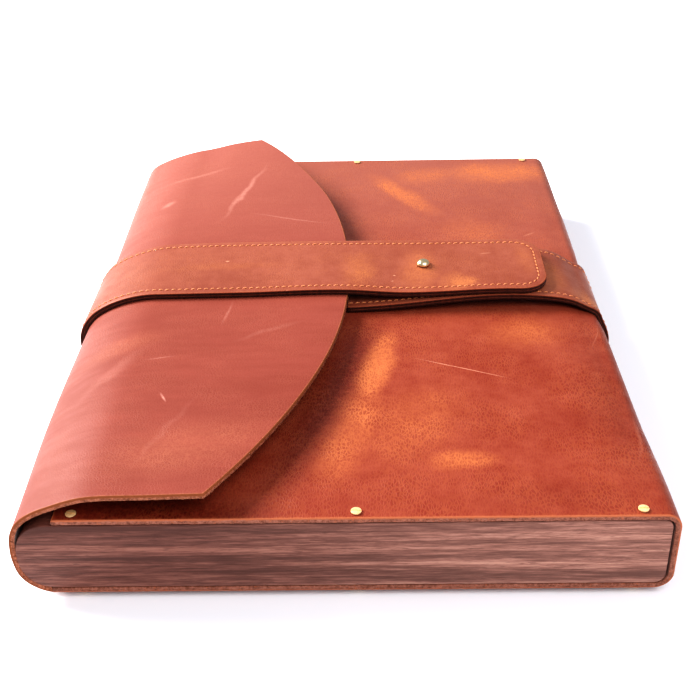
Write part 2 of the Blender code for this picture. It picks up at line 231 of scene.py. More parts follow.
# ---- profile lines and leather surfaces --------------------------------------------------
@dataclass(frozen=True)
class ProfileLine:
    """A line in the XZ plane made of straight stretches and arcs that turn to the right.

    The leather's outside is on the line's left. A stretch is (length, radius), and a radius of
    0 is straight. The last stretch runs on past its end.
    """

    start: tuple[float, float]
    heading: float
    stretches: tuple[tuple[float, float], ...]

    def at(self, along: Array) -> tuple[Array, Array, Array, Array]:
        """Where the line is, and its outward normal.

        On an arc the point is the centre plus the radius times the normal, and the normal
        turns by distance over radius.

        Args:
            along: distances from the line's start.

        Returns:
            x, z, and the normal's x and z.
        """
        x, z, nx, nz = (np.zeros_like(along) for _ in range(4))
        (px, pz), heading, done = self.start, self.heading, 0.0
        for length, radius in self.stretches:
            here = along >= done - 1e-9
            run = along - done
            turned = heading - (run / radius if radius else 0.0 * run)
            side_x, side_z = -np.sin(turned), np.cos(turned)
            if radius:
                mid_x, mid_z = px + radius * math.sin(heading), pz - radius * math.cos(heading)
                now_x, now_z = mid_x + radius * side_x, mid_z + radius * side_z
            else:
                now_x, now_z = px + run * math.cos(heading), pz + run * math.sin(heading)
            x, z = np.where(here, now_x, x), np.where(here, now_z, z)
            nx, nz = np.where(here, side_x, nx), np.where(here, side_z, nz)
            if radius:
                heading -= length / radius
                px, pz = mid_x - radius * math.sin(heading), mid_z + radius * math.cos(heading)
            else:
                px, pz = px + length * math.cos(heading), pz + length * math.sin(heading)
            done += length
        return x, z, nx, nz


WRAP_LINE = ProfileLine(
    (PLAN.left + PLAN.PANEL_START, PLAN.top), 0.0,
    ((PLAN.right - PLAN.TOP_RADIUS - PLAN.left - PLAN.PANEL_START, 0.0),
     (math.pi / 2 * PLAN.TOP_RADIUS, PLAN.TOP_RADIUS),
     (PLAN.top - PLAN.foot - PLAN.TOP_RADIUS - PLAN.FOOT_RADIUS, 0.0),
     (math.pi / 2 * PLAN.FOOT_RADIUS, PLAN.FOOT_RADIUS),
     (PLAN.right - PLAN.FOOT_RADIUS - PLAN.curl[0], 0.0)))
FLAP_LINE = ProfileLine(
    (PLAN.curl[0], PLAN.foot), math.pi,
    ((PLAN.curl_length, PLAN.CURL_RADIUS), (PLAN.shoulder_length, PLAN.SHOULDER_RADIUS),
     (1.0, 0.0)))


class Surface:
    """The outside of a piece of leather: a profile line, and how far it swells off it."""

    line: ProfileLine

    def swell(self, along: Array, across: Array) -> Array:
        """Height of the leather over its profile line, in metres."""
        return 0.0 * along

    def place(self, along: Array, across: Array, offset: Array | float) -> Array:
        """Points in the frame: the line's point plus normal times (offset plus swell).

        Args:
            along: distance along the profile line.
            across: distance from the case's front.
            offset: height over the leather's outside.

        Returns:
            (..., 3) points.
        """
        x, z, nx, nz = self.line.at(along)
        height = offset + self.swell(along, across)
        return np.stack([x + nx * height, across + PLAN.front, z + nz * height], axis=-1)

    def normal(self, along: Array, across: Array, offset: float) -> Array:
        """The surface's own normal, from the difference of points close by."""
        near = 0.2 * MM
        one = self.place(along + near, across, offset) - self.place(along - near, across, offset)
        two = self.place(along, across + near, offset) - self.place(along, across - near, offset)
        return unit(np.cross(one, two))


class WrapSurface(Surface):
    """Panel, right side and underside. The leather is held flat on the bars, and between them
    it sinks a little over the top, draws in at the corner and bellies at the side."""

    line = WRAP_LINE
    # places along the line from the panel's cut edge, and the swell there halfway back, in mm
    KNOTS = np.array([0, 60, 130, 190, 209, 219, 226, 232, 239, 247, 256, 300]) * MM
    SWELL = np.array([0, -0.2, -0.5, -0.6, -1.1, -1.9, -0.9, 1.0, 2.3, 1.4, 0, 0]) * MM
    FADE = 70 * MM                     # where the bars' hold on the leather ends
    REAR_RISE = 0.8 * MM               # how much more the corner stands out at the rear
    WAVE = 0.35 * MM
    PINCH = 2.4 * MM                   # how far the strap pulls the corner in
    PINCH_HALF = 30 * MM

    def pinch(self, along: Array) -> Array:
        """How far the corner is pulled in under the strap: one smooth bump along the line."""
        return self.PINCH * ease(along, 203 * MM, 221 * MM) * (1 - ease(along, 221 * MM, 240 * MM))

    def swell(self, along: Array, across: Array) -> Array:
        """Bellying by the table above, faded out over the bars and weaker towards the rear,
        with a shallow wave, less the pinch under the strap."""
        held = ease(across, PLAN.bar_width, self.FADE)
        held = held * ease(PLAN.depth - across, PLAN.bar_width, self.FADE)
        wave = np.sin(along / (31 * MM) + 1.2) * np.sin(across / (27 * MM) + along / (90 * MM))
        on_top = 1 - ease(along, 190 * MM, 215 * MM)
        belly = hermite(self.KNOTS, self.SWELL, along)
        at_rear = ease(across, 205 * MM, 270 * MM) * ease(along, 200 * MM, 219 * MM)
        belly = belly + self.REAR_RISE * at_rear
        under = np.exp(-(((across - PLAN.strap_middle) / self.PINCH_HALF) ** 4))
        return held * (belly + self.WAVE * wave * on_top) - self.pinch(along) * under


class BeltSurface(WrapSurface):
    """The leather under the strap's lower run, which bows up off the panel before it reaches
    the right side."""

    ARCH = 4.2 * MM
    SKEW = 1.6
    TILT = 2.0 * MM                    # how much higher its rear edge bows
    ASKEW = 3.0 * MM                   # how far its loose end strays to the front
    LENGTH = PLAN.right - PLAN.TOP_RADIUS - PLAN.left - Plan.BELT_END

    def lift(self, along: Array, across: Array) -> Array:
        """Half a sine wave over the panel, its crest moved towards the right side, and more
        of it at the rear edge."""
        share = (along - (Plan.BELT_END - Plan.PANEL_START)) / self.LENGTH
        bow = self.ARCH * np.sin(np.pi * np.clip(share, 0, 1) ** self.SKEW)
        rear = ease(across, PLAN.strap_front + 12 * MM, PLAN.strap_rear)
        late = ease(along, 165 * MM, 195 * MM) * (1 - ease(along, 201 * MM, 216 * MM))
        return bow + self.TILT * rear * late

    def swell(self, along: Array, across: Array) -> Array:
        """The wrap's swell at the side, and the bow over the panel."""
        at_side = super().swell(along, across) * ease(along, 200 * MM, 222 * MM)
        return at_side + self.lift(along, across)

    def place(self, along: Array, across: Array, offset: Array | float) -> Array:
        """Points in the frame, with the loose end set a little askew."""
        stray = self.ASKEW * (1 - ease(along, 96 * MM, 185 * MM))
        return super().place(along, across, offset) - stray[..., None] * np.array([0, 1, 0])


class FlapSurface(Surface):
    """The flap: round the left end, over the shoulder and down to lie over the panel. Its
    front hangs closest to the case at the curl, and its rear corner stands up."""

    line = FLAP_LINE
    COLUMNS = np.array([*(PLAN.at_turn(t) for t in (0, 40, 75, 105, 130, 150)),
                        *(PLAN.at_x(x * MM) for x in (17, 30, 50, 70, 119, 145, 165, 216))])
    ROWS = np.array([0, 60, 152, 200, 300, 345]) * MM
    HEIGHTS = np.array([
        [0, -2.5, -4.9, -4.8, -2.9, -0.9, 0.5, 2.2, 2.7, 3.2, 3.2, 3.0, 3.0, 3.0],
        [0, -1.2, -1.8, -1.4, -1.0, -0.6, 0.3, 1.4, 1.8, 2.0, 1.5, 0.0, 0.0, 0.0],
        [0, 0.1, 0.1, -0.5, -1.1, -1.1, -1.5, -1.6, -1.4, -1.2, -0.4, -2.2, -2.0, -1.2],
        [0, -0.4, -0.9, -0.9, -0.6, 0.0, 0.6, 1.4, 2.1, 2.3, 2.4, 2.2, 2.1, 2.3],
        [0, 0.3, 0.8, 1.1, 0.7, 0.2, 0.0, 0.8, 3.4, 5.0, 4.5, 4.5, 4.5, 4.5],
        [0, 0.3, 0.9, 1.6, 1.2, 0.2, -1.0, 0.2, 4.4, 6.9, 6.9, 6.9, 6.9, 6.9]]) * MM

    def swell(self, along: Array, across: Array) -> Array:
        """Smooth through the table of heights, first along each row, then across the rows."""
        rows = np.array([hermite(self.COLUMNS, row, along) for row in self.HEIGHTS])
        return hermite(self.ROWS, rows, across)


class StrapSurface(FlapSurface):
    """What the upper run of the strap lies on: the flap, and past the flap's edge the lower
    run, over which it is held up."""

    CLEAR = 0.1 * MM
    SOFT = 0.7 * MM
    PUCKER = 0.5 * MM                  # how far the leather rises round the stud
    PUCKER_HALF = 6 * MM

    def swell(self, along: Array, across: Array) -> Array:
        """The flap's swell, or the lower run's top where that is higher, joined smoothly, and
        a low rise up to the stud's head."""
        free = super().swell(along, across)
        on_panel = along - PLAN.at_x(Plan.PANEL_START)
        bow = BeltSurface().lift(on_panel, across)
        rest = PLAN.top + Plan.STRAP + bow + self.CLEAR - PLAN.flap_top
        rest = np.where(on_panel > Plan.BELT_END - Plan.PANEL_START, rest, -20 * MM)
        far = np.hypot(along - PLAN.at_x(PLAN.stud[0]), across - PLAN.stud[1]) / self.PUCKER_HALF
        rise = self.PUCKER * np.exp(-far ** 2)
        return (free + rest + np.sqrt((free - rest) ** 2 + self.SOFT ** 2)) / 2 + rise


# ---- leather sheets ----------------------------------------------------------------------
class Side(Enum):
    """The four sides of a sheet, in the order in which its outline runs round it."""

    FRONT = 0
    END = 1
    REAR = 2
    START = 3


@dataclass(frozen=True)
class Cut:
    """How a sheet's cut edge is worked."""

    rounding: float                    # radius between the grain side and the cut side
    ragged: float                      # how far the flesh side's fibres stray
    tuft_gap: float = 0.0              # mean distance between loose fibres, 0 for none
    tuft: float = 0.7 * MM             # their length


RAW_CUT = Cut(0.42 * MM, 0.16 * MM, tuft_gap=0.40 * MM, tuft=0.8 * MM)
HELD_CUT = Cut(0.42 * MM, 0.13 * MM, tuft_gap=1.2 * MM, tuft=0.5 * MM)
BURNISHED_CUT = Cut(0.3 * MM, 0.02 * MM)


@dataclass
class Sheet:
    """A closed sheet of leather between two heights over a surface, with worked edges.

    Attributes:
        name: the piece's name.
        surface: what it is worked out on.
        along, across: (m, n) grids of the two parameters, inset at free sides by the rounding.
        outer, inner: heights of its grain side and of its flesh side.
        free: the sides that are cut edges; the others meet the next piece.
        cut: how the cut edges are worked.
        relief: height added to the grain side, on the same grid.
        gap: distance from each grid point to the nearest cut edge.
        seed: start of the random numbers for its fibres.
    """

    name: str
    surface: Surface
    along: Array
    across: Array
    outer: float
    inner: float
    free: frozenset
    cut: Cut
    gap: Array
    relief: Array | float = 0.0
    seed: int = 1

    def build(self, grain: bpy.types.Material, flesh: bpy.types.Material,
              edge: bpy.types.Material) -> bpy.types.Object:
        """Makes the closed mesh: both faces as grids, and rings round the outline between.

        A ring's point is the border point plus the outward vector times the ring's reach,
        minus the normal times its depth. The outward vector is the outline's own direction
        crossed with the normal, mitred at corners, and nothing at sides that meet a neighbour.

        Args:
            grain: material of the grain side.
            flesh: material of the flesh side.
            edge: material of the cut.

        Returns:
            The piece, with a UV map in metres and the values "gap" and "depth".
        """
        top = self.surface.place(self.along, self.across, self.outer + self.relief)
        under = self.surface.place(self.along, self.across, self.inner)
        count = self.along.size
        number = np.arange(count).reshape(self.along.shape)
        normals = unit(top - under).reshape(-1, 3)
        loop, outward = self._outline(number, top.reshape(-1, 3), normals)

        rng = np.random.default_rng(self.seed)
        thickness = self.outer - self.inner
        profile = self._cut_profile(thickness)
        border, down = top.reshape(-1, 3)[loop], normals[loop]
        rings = []
        for reach, deep, rough in profile:
            spread = self.cut.ragged / self.cut.rounding
            stray = 1 + rng.normal(0, spread, (len(loop), 1)) * rough
            rings.append(border + outward * reach * stray - down * deep)

        size = len(loop)
        lines = [loop] + [2 * count + k * size + np.arange(size) for k in range(len(rings))]
        lines.append(loop + count)
        a, b, c, d = number[:-1, :-1], number[1:, :-1], number[1:, 1:], number[:-1, 1:]
        grid = np.stack([a, b, c, d], -1).reshape(-1, 4)
        sides = np.concatenate([
            np.stack([hi, lo, np.roll(lo, -1), np.roll(hi, -1)], -1)
            for hi, lo in zip(lines, lines[1:])])
        quads = np.concatenate([grid, grid[:, ::-1] + count, sides])
        points = np.concatenate([top.reshape(-1, 3), under.reshape(-1, 3), *rings])

        flat = np.stack([self.along, self.across], -1).reshape(-1, 2)
        uv = np.concatenate([flat, flat, *[flat[loop]] * len(rings)])
        gap = np.concatenate([self.gap.ravel(), self.gap.ravel(), np.zeros(size * len(rings))])
        depth = np.concatenate([np.zeros(count), np.ones(count),
                                *[np.full(size, deep / thickness) for _, deep, _ in profile]])
        slots = np.concatenate([np.zeros(len(grid)), np.ones(len(grid)), np.full(len(sides), 2)])
        faces = quads.tolist()
        if self.cut.tuft_gap:
            fluff, base = self._tufts(rings[-3:], outward, down, rng)
            first = len(points)
            faces += (np.array([[0, 1, 2], [0, 3, 1], [1, 3, 2], [2, 3, 0]])[None]
                      + first + 4 * np.arange(len(fluff))[:, None, None]).reshape(-1, 3).tolist()
            points = np.concatenate([points, fluff.reshape(-1, 3)])
            uv = np.concatenate([uv, np.repeat(flat[loop][base], 4, 0)])
            gap = np.concatenate([gap, np.zeros(4 * len(fluff))])
            depth = np.concatenate([depth, np.full(4 * len(fluff), 0.8)])
            slots = np.concatenate([slots, np.full(4 * len(fluff), 2)])

        obj = new_piece(self.name, points, faces, [grain, flesh, edge], slots)
        add_uv(obj, uv)
        add_value(obj, "gap", gap)
        add_value(obj, "depth", depth)
        self._match_neighbours(obj, len(points), count)
        return obj

    def _cut_profile(self, thickness: float) -> tuple[tuple[float, float, float], ...]:
        """The cut's rings, top to bottom: reach, depth below the grain side, raggedness."""
        r = self.cut.rounding
        return ((0.5 * r, 0.134 * r, 0.0), (0.866 * r, 0.5 * r, 0.1), (r, r, 0.3),
                (r, 0.55 * thickness, 0.7), (0.95 * r, thickness - 0.5 * r, 1.0),
                (0.5 * r, thickness - 0.08 * r, 0.6))

    def _outline(self, number: Array, points: Array, normals: Array) -> tuple[Array, Array]:
        """The border's vertex numbers in order, and the outward vector at each."""
        runs = {Side.FRONT: number[:, 0], Side.END: number[-1, :],
                Side.REAR: number[::-1, -1], Side.START: number[0, ::-1]}
        vectors = {}
        for side, run in runs.items():
            tangent = unit(np.gradient(points[run], axis=0))
            vectors[side] = unit(np.cross(tangent, normals[run])) * (side in self.free)
        loop, outward = [], []
        before = vectors[Side.START][-1]
        for side, run in runs.items():
            own = vectors[side].copy()
            own[0] = (own[0] + before) / (1 + own[0] @ before)
            before = vectors[side][-1]
            loop.append(run[:-1])
            outward.append(own[:-1])
        return np.concatenate(loop), np.concatenate(outward)

    def _tufts(self, rings: list, outward: Array, down: Array,
               rng: np.random.Generator) -> tuple[Array, Array]:
        """Loose fibres on the cut: thin closed spikes on a triangle, leaning at random.

        Args:
            rings: the lower rings of the cut, between which a fibre starts.
            outward, down: outward vector and normal at each border point.
            rng: the sheet's random numbers.

        Returns:
            (k, 4, 3) points, three at the base and the tip, and each base's border number.
        """
        where = np.flatnonzero(np.linalg.norm(outward, axis=1) > 0.5)
        length = np.linalg.norm(np.diff(rings[0][where], axis=0), axis=1)
        total = length[length < 6 * MM].sum()
        base = np.sort(rng.choice(where, int(total / self.cut.tuft_gap)))
        share = rng.random((len(base), 1))
        root = rings[0][base] * share + rings[-1][base] * (1 - share)
        e, n = unit(outward[base]), down[base]
        t = np.cross(n, e)
        lean = rng.normal(0, 1, (len(base), 2))
        way = unit(e + t * lean[:, :1] * 1.1 + n * (lean[:, 1:] * 0.35 - 0.15))
        long = self.cut.tuft * (0.35 + rng.exponential(0.35, (len(base), 1)).clip(0, 1.4))
        thick = 0.055 * MM * (0.7 + 0.6 * rng.random((len(base), 1)))
        one = unit(np.cross(way, n))
        two = np.cross(way, one)
        root = root - way * 0.1 * MM
        corners = [root + thick * (one * math.cos(a) + two * math.sin(a))
                   for a in (0.0, 2 * math.pi / 3, 4 * math.pi / 3)]
        return np.stack([*corners, root + way * long], axis=1), base

    def _match_neighbours(self, obj: bpy.types.Object, total: int, count: int) -> None:
        """Gives the border towards a neighbour the surface's own normals, so that the shading
        runs on from piece to piece."""
        number = np.arange(count).reshape(self.along.shape)
        given = np.zeros((total, 3))
        for side, row in ((Side.START, 0), (Side.END, -1)):
            if side not in self.free:
                own = self.surface.normal(self.along[row, 1:-1], self.across[row, 1:-1],
                                          self.outer)
                given[number[row, 1:-1]] = own
                given[number[row, 1:-1] + count] = -own
        if given.any():
            obj.data.normals_split_custom_set_from_vertices(given.tolist())


# ---- stitches ----------------------------------------------------------------------------
@dataclass(frozen=True)
class Thread:
    """Stitches of one thread: short arched capsules whose ends dip into the leather."""

    pitch: float = 3.05 * MM
    length: float = 2.5 * MM
    radius: float = 0.40 * MM
    slant: float = math.radians(9)
    sides: int = 6
    rings: tuple[float, ...] = (-0.86, -0.45, 0.0, 0.45, 0.86)

    def build(self, name: str, surface: Surface, spots: Array, offset: float, turned: bool,
              material: bpy.types.Material) -> bpy.types.Object:
        """Lays one stitch on each spot, worked out on the surface as a whole array.

        A stitch is a tube along its own length: its radius shrinks to nothing at both ends as
        the root of 1 - a^4, and its middle stands proud while its ends dip under, as 1 - 2a^2.

        Args:
            name: the piece's name.
            surface: what the stitches follow.
            spots: (k, 4) rows of along, across, and the seam's direction in those two.
            offset: height of the face that they lie on.
            turned: true on the flesh side, where they stand the other way.
            material: the thread.

        Returns:
            The piece.
        """
        n, body = self.sides, self.sides * len(self.rings)
        a = np.repeat(np.array(self.rings), n)
        around = np.tile(np.arange(n) * 2 * math.pi / n, len(self.rings))
        swell = (1 - a ** 4) ** 0.5
        a = np.concatenate([a, [-1.0, 1.0]])
        b = np.concatenate([self.radius * swell * np.cos(around), [0, 0]])
        c = np.concatenate([0.62 * self.radius * swell * np.sin(around), [0, 0]])
        c = c + self.radius * 0.5 * (1 - 2 * a ** 2)
        faces = [(i + n + j, i + n + (j + 1) % n, i + (j + 1) % n, i + j)
                 for i in range(0, body - n, n) for j in range(n)]
        faces += [(body, j, (j + 1) % n) for j in range(n)]
        faces += [(body + 1, body - n + (j + 1) % n, body - n + j) for j in range(n)]
        if turned:
            faces = [tuple(reversed(f)) for f in faces]

        s, y, ds, dy = (spots[:, i:i + 1] for i in range(4))
        cos, sin = math.cos(self.slant), math.sin(self.slant)
        ds, dy = ds * cos - dy * sin, ds * sin + dy * cos
        half = self.length / 2
        along = s + a[None] * half * ds - b[None] * dy
        across = y + a[None] * half * dy + b[None] * ds
        points = surface.place(along, across, offset + (-c if turned else c)[None])
        number = (body + 2) * np.arange(len(spots))
        everything = [tuple(v + first for v in f) for first in number for f in faces]
        obj = new_piece(name, points.reshape(-1, 3), everything, [material], sharp=180)
        twist = np.stack([a * half, np.concatenate([around, [0, 0]]) / (2 * math.pi)], -1)
        shift = (number[:, None, None] * 0.37) % 1.0 * np.array([0.01, 0.0])
        add_uv(obj, (twist[None] + shift).reshape(-1, 2))
        return obj


def straight_seam(start: float, stop: float, across: float, pitch: float) -> Array:
    """Spots of a seam that runs straight along the profile line."""
    s = np.arange(start + pitch / 2, stop, pitch)
    return np.stack([s, 0 * s + across, 0 * s + 1, 0 * s], -1)


# ---- materials ---------------------------------------------------------------------------
class Writer:
    """Writes nodes into one tree. An input may be a value or another node's socket."""

    def __init__(self, tree: bpy.types.NodeTree) -> None:
        """Keeps the tree to write in."""
        self.tree = tree

    def node(self, kind: str, inputs: dict | None = None, **settings) -> bpy.types.Node:
        """Adds a node.

        Args:
            kind: the node's type, without "ShaderNode" in front.
            inputs: value or socket for each input, by name or number.
            settings: the node's own properties.

        Returns:
            The node.
        """
        made = self.tree.nodes.new("ShaderNode" + kind)
        for key, value in settings.items():
            setattr(made, key, value)
        for key, value in (inputs or {}).items():
            if isinstance(value, bpy.types.NodeSocket):
                self.tree.links.new(value, made.inputs[key])
            else:
                made.inputs[key].default_value = value
        return made

    def math(self, operation: str, a: Socket | float, b: Socket | float = 0.0) -> Socket:
        """A sum, product or other operation on two numbers."""
        return self.node("Math", {0: a, 1: b}, operation=operation).outputs[0]

    def blend(self, share: Socket | float, a: Socket | Colour, b: Socket | Colour) -> Socket:
        """A mix of two colours."""
        colours = [v if isinstance(v, bpy.types.NodeSocket) else (*v, 1.0) for v in (a, b)]
        made = self.node("Mix", {0: share, 6: colours[0], 7: colours[1]}, data_type="RGBA")
        return made.outputs[2]

    def step(self, value: Socket, low: float | Socket, high: float | Socket, to_low: float = 0.0,
             to_high: float = 1.0) -> Socket:
        """A smooth step from one number to another."""
        places = {"Value": value, "From Min": low, "From Max": high, "To Min": to_low,
                  "To Max": to_high}
        return self.node("MapRange", places, interpolation_type="SMOOTHSTEP").outputs["Result"]

    def noise(self, vector: Socket, scale: float, detail: float = 3.0, rough: float = 0.55,
              output: str = "Fac") -> Socket:
        """A noise value, or its colour, at a scale in waves for each metre."""
        places = {"Vector": vector, "Scale": scale, "Detail": detail, "Roughness": rough}
        return self.node("TexNoise", places).outputs[output]

    def stretch(self, vector: Socket, factors: Socket | tuple[float, float, float]) -> Socket:
        """A vector scaled by its own factor on each axis."""
        made = self.node("VectorMath", {0: vector, 1: factors}, operation="MULTIPLY")
        return made.outputs[0]

    def group(self, tree: bpy.types.NodeTree, inputs: dict) -> bpy.types.Node:
        """Places a node group."""
        made = self.node("Group", node_tree=tree)
        for key, value in inputs.items():
            if isinstance(value, bpy.types.NodeSocket):
                self.tree.links.new(value, made.inputs[key])
            else:
                made.inputs[key].default_value = value
        return made


def new_group(name: str, inputs: dict[str, str], outputs: dict[str, str]
              ) -> tuple[bpy.types.NodeTree, Writer, dict[str, Socket], bpy.types.Node]:
    """Starts a shared effect.

    Args:
        name: the group's name.
        inputs: socket kind for each input, "Float", "Vector" or "Color".
        outputs: the same for each output.

    Returns:
        The group, its writer, its inputs' sockets inside, and its output node.
    """
    tree = bpy.data.node_groups.new(name, "ShaderNodeTree")
    for in_out, sockets in (("INPUT", inputs), ("OUTPUT", outputs)):
        for socket, kind in sockets.items():
            tree.interface.new_socket(name=socket, in_out=in_out,
                                      socket_type="NodeSocket" + kind)
    source, sink = tree.nodes.new("NodeGroupInput"), tree.nodes.new("NodeGroupOutput")
    return tree, Writer(tree), {k: source.outputs[k] for k in inputs}, sink


def mark_group() -> bpy.types.NodeTree:
    """A soft ellipse with a wavering outline: pull-up patches, creases, scratches and painted
    shade.
    """
    tree, w, given, sink = new_group(
        "leather_mark",
        {"Vector": "Vector", "Centre": "Vector", "Angle": "Float", "Half Size": "Vector",
         "Waver": "Float", "Softness": "Float"},
        {"Mask": "Float"})
    wander = w.noise(given["Vector"], 55.0, 2.0, 0.5, "Color")
    wander = w.node("VectorMath", {0: wander, 1: (0.5, 0.5, 0.5)}, operation="SUBTRACT")
    wander = w.node("VectorMath", {0: wander.outputs[0], "Scale": given["Waver"]},
                    operation="SCALE")
    spot = w.node("VectorMath", {0: given["Vector"], 1: wander.outputs[0]}, operation="ADD")
    spot = w.node("VectorMath", {0: spot.outputs[0], 1: given["Centre"]}, operation="SUBTRACT")
    back = w.math("MULTIPLY", given["Angle"], -1.0)
    spot = w.node("VectorRotate", {"Vector": spot.outputs[0], "Angle": back},
                  rotation_type="Z_AXIS")
    spot = w.node("VectorMath", {0: spot.outputs[0], 1: given["Half Size"]}, operation="DIVIDE")
    far = w.node("VectorMath", {0: spot.outputs[0]}, operation="LENGTH").outputs["Value"]
    mask = w.step(far, 1.0, w.math("SUBTRACT", 1.0, given["Softness"]))
    broken = w.step(w.noise(given["Vector"], 420.0, 4.0, 0.65), 0.34, 0.60, 0.55, 1.0)
    tree.links.new(w.math("MULTIPLY", mask, broken), sink.inputs["Mask"])
    return tree


def grain_group() -> bpy.types.NodeTree:
    """The leather's grain: pebbles with valleys between them, and fine pores."""
    tree, w, given, sink = new_group(
        "leather_grain", {"Vector": "Vector", "Scale": "Float", "Cell Shape": "Vector",
                          "Cloud Shape": "Vector"},
        {"Height": "Float", "Valley": "Float", "Mottle": "Float", "Speck": "Float"})
    wander = w.noise(given["Vector"], 500.0, 2.0, 0.5, "Color")
    moved = w.node("VectorMath", {0: wander, "Scale": 0.0011}, operation="SCALE")
    moved = w.node("VectorMath", {0: given["Vector"], 1: moved.outputs[0]}, operation="ADD")
    shaped = w.stretch(moved.outputs[0], given["Cell Shape"])
    cells = w.node("TexVoronoi", {"Vector": shaped, "Scale": given["Scale"]},
                   feature="DISTANCE_TO_EDGE")
    pebble = w.step(cells.outputs["Distance"], 0.0, 0.28)
    pores = w.noise(given["Vector"], 2600.0, 3.0, 0.6)
    amount = w.step(w.noise(given["Vector"], 42.0, 2.0), 0.35, 0.68, 0.35, 1.0)
    height = w.math("ADD", w.math("MULTIPLY", pebble, amount), w.math("MULTIPLY", pores, 0.5))
    tree.links.new(height, sink.inputs["Height"])
    valley = w.math("MULTIPLY", w.math("SUBTRACT", 1.0, pebble), amount)
    tree.links.new(valley, sink.inputs["Valley"])
    shaped = w.stretch(given["Vector"], given["Cloud Shape"])
    mottle = w.math("ADD", w.math("MULTIPLY", w.noise(shaped, 24.0, 5.0, 0.6), 0.62),
                    w.math("MULTIPLY", w.noise(shaped, 150.0, 4.0, 0.6), 0.38))
    tree.links.new(w.step(mottle, 0.34, 0.68), sink.inputs["Mottle"])
    tree.links.new(w.step(w.noise(given["Vector"], 620.0, 4.0, 0.75), 0.40, 0.66),
                   sink.inputs["Speck"])
    return tree


def wear_group() -> bpy.types.NodeTree:
    """Wear along an edge: strongest at the edge, broken up by noise."""
    tree, w, given, sink = new_group(
        "edge_wear", {"Vector": "Vector", "Gap": "Float", "Reach": "Float"}, {"Mask": "Float"})
    near = w.step(given["Gap"], given["Reach"], 0.0)
    rubbed = w.step(w.noise(given["Vector"], 700.0, 4.0, 0.65), 0.30, 0.62)
    tree.links.new(w.math("MULTIPLY", near, rubbed), sink.inputs["Mask"])
    return tree


def fibre_group() -> bpy.types.NodeTree:
    """Matted fibres of raw leather, as a value and a height."""
    tree, w, given, sink = new_group(
        "raw_fibre", {"Vector": "Vector"}, {"Value": "Float", "Height": "Float"})
    coarse = w.noise(given["Vector"], 900.0, 4.0, 0.7)
    fine = w.noise(w.stretch(given["Vector"], (1.0, 1.0, 2.2)), 3200.0, 3.0, 0.7)
    both = w.math("ADD", w.math("MULTIPLY", coarse, 0.55), w.math("MULTIPLY", fine, 0.45))
    tree.links.new(w.step(both, 0.36, 0.64), sink.inputs["Value"])
    tree.links.new(both, sink.inputs["Height"])
    return tree


GROUPS = {"mark": mark_group(), "grain": grain_group(), "wear": wear_group(),
          "fibre": fibre_group()}


def new_material(name: str, roughness: float, **constants: float
                 ) -> tuple[bpy.types.Material, Writer, bpy.types.Node]:
    """A material with a Principled shader.

    Args:
        name: the material's name.
        roughness: its plain roughness.
        constants: values for other inputs of the shader, with _ for spaces.

    Returns:
        The material, a writer in its tree, and the shader.
    """
    material = bpy.data.materials.new(name)
    material.use_nodes = True
    tree = material.node_tree
    shader = tree.nodes["Principled BSDF"]
    shader.inputs["Roughness"].default_value = roughness
    for key, value in constants.items():
        shader.inputs[key.replace("_", " ")].default_value = value
    return material, Writer(tree), shader


@dataclass(frozen=True)
class Mark:
    """A soft mark on the leather. Sizes are in millimetres, the angle in degrees."""

    at: tuple[float, float]
    half: tuple[float, float]
    angle: float = 0.0
    strength: float = 1.0
    waver: float = 6.0
    softness: float = 0.9

    def mask(self, w: Writer, vector: Socket) -> Socket:
        """The mark's mask in a material, times its strength."""
        made = w.group(GROUPS["mark"], {
            "Vector": vector, "Centre": (self.at[0] * MM, self.at[1] * MM, 0.0),
            "Angle": math.radians(self.angle),
            "Half Size": (self.half[0] * MM, self.half[1] * MM, 1.0),
            "Waver": self.waver * MM, "Softness": self.softness})
        return w.math("MULTIPLY", made.outputs["Mask"], self.strength)


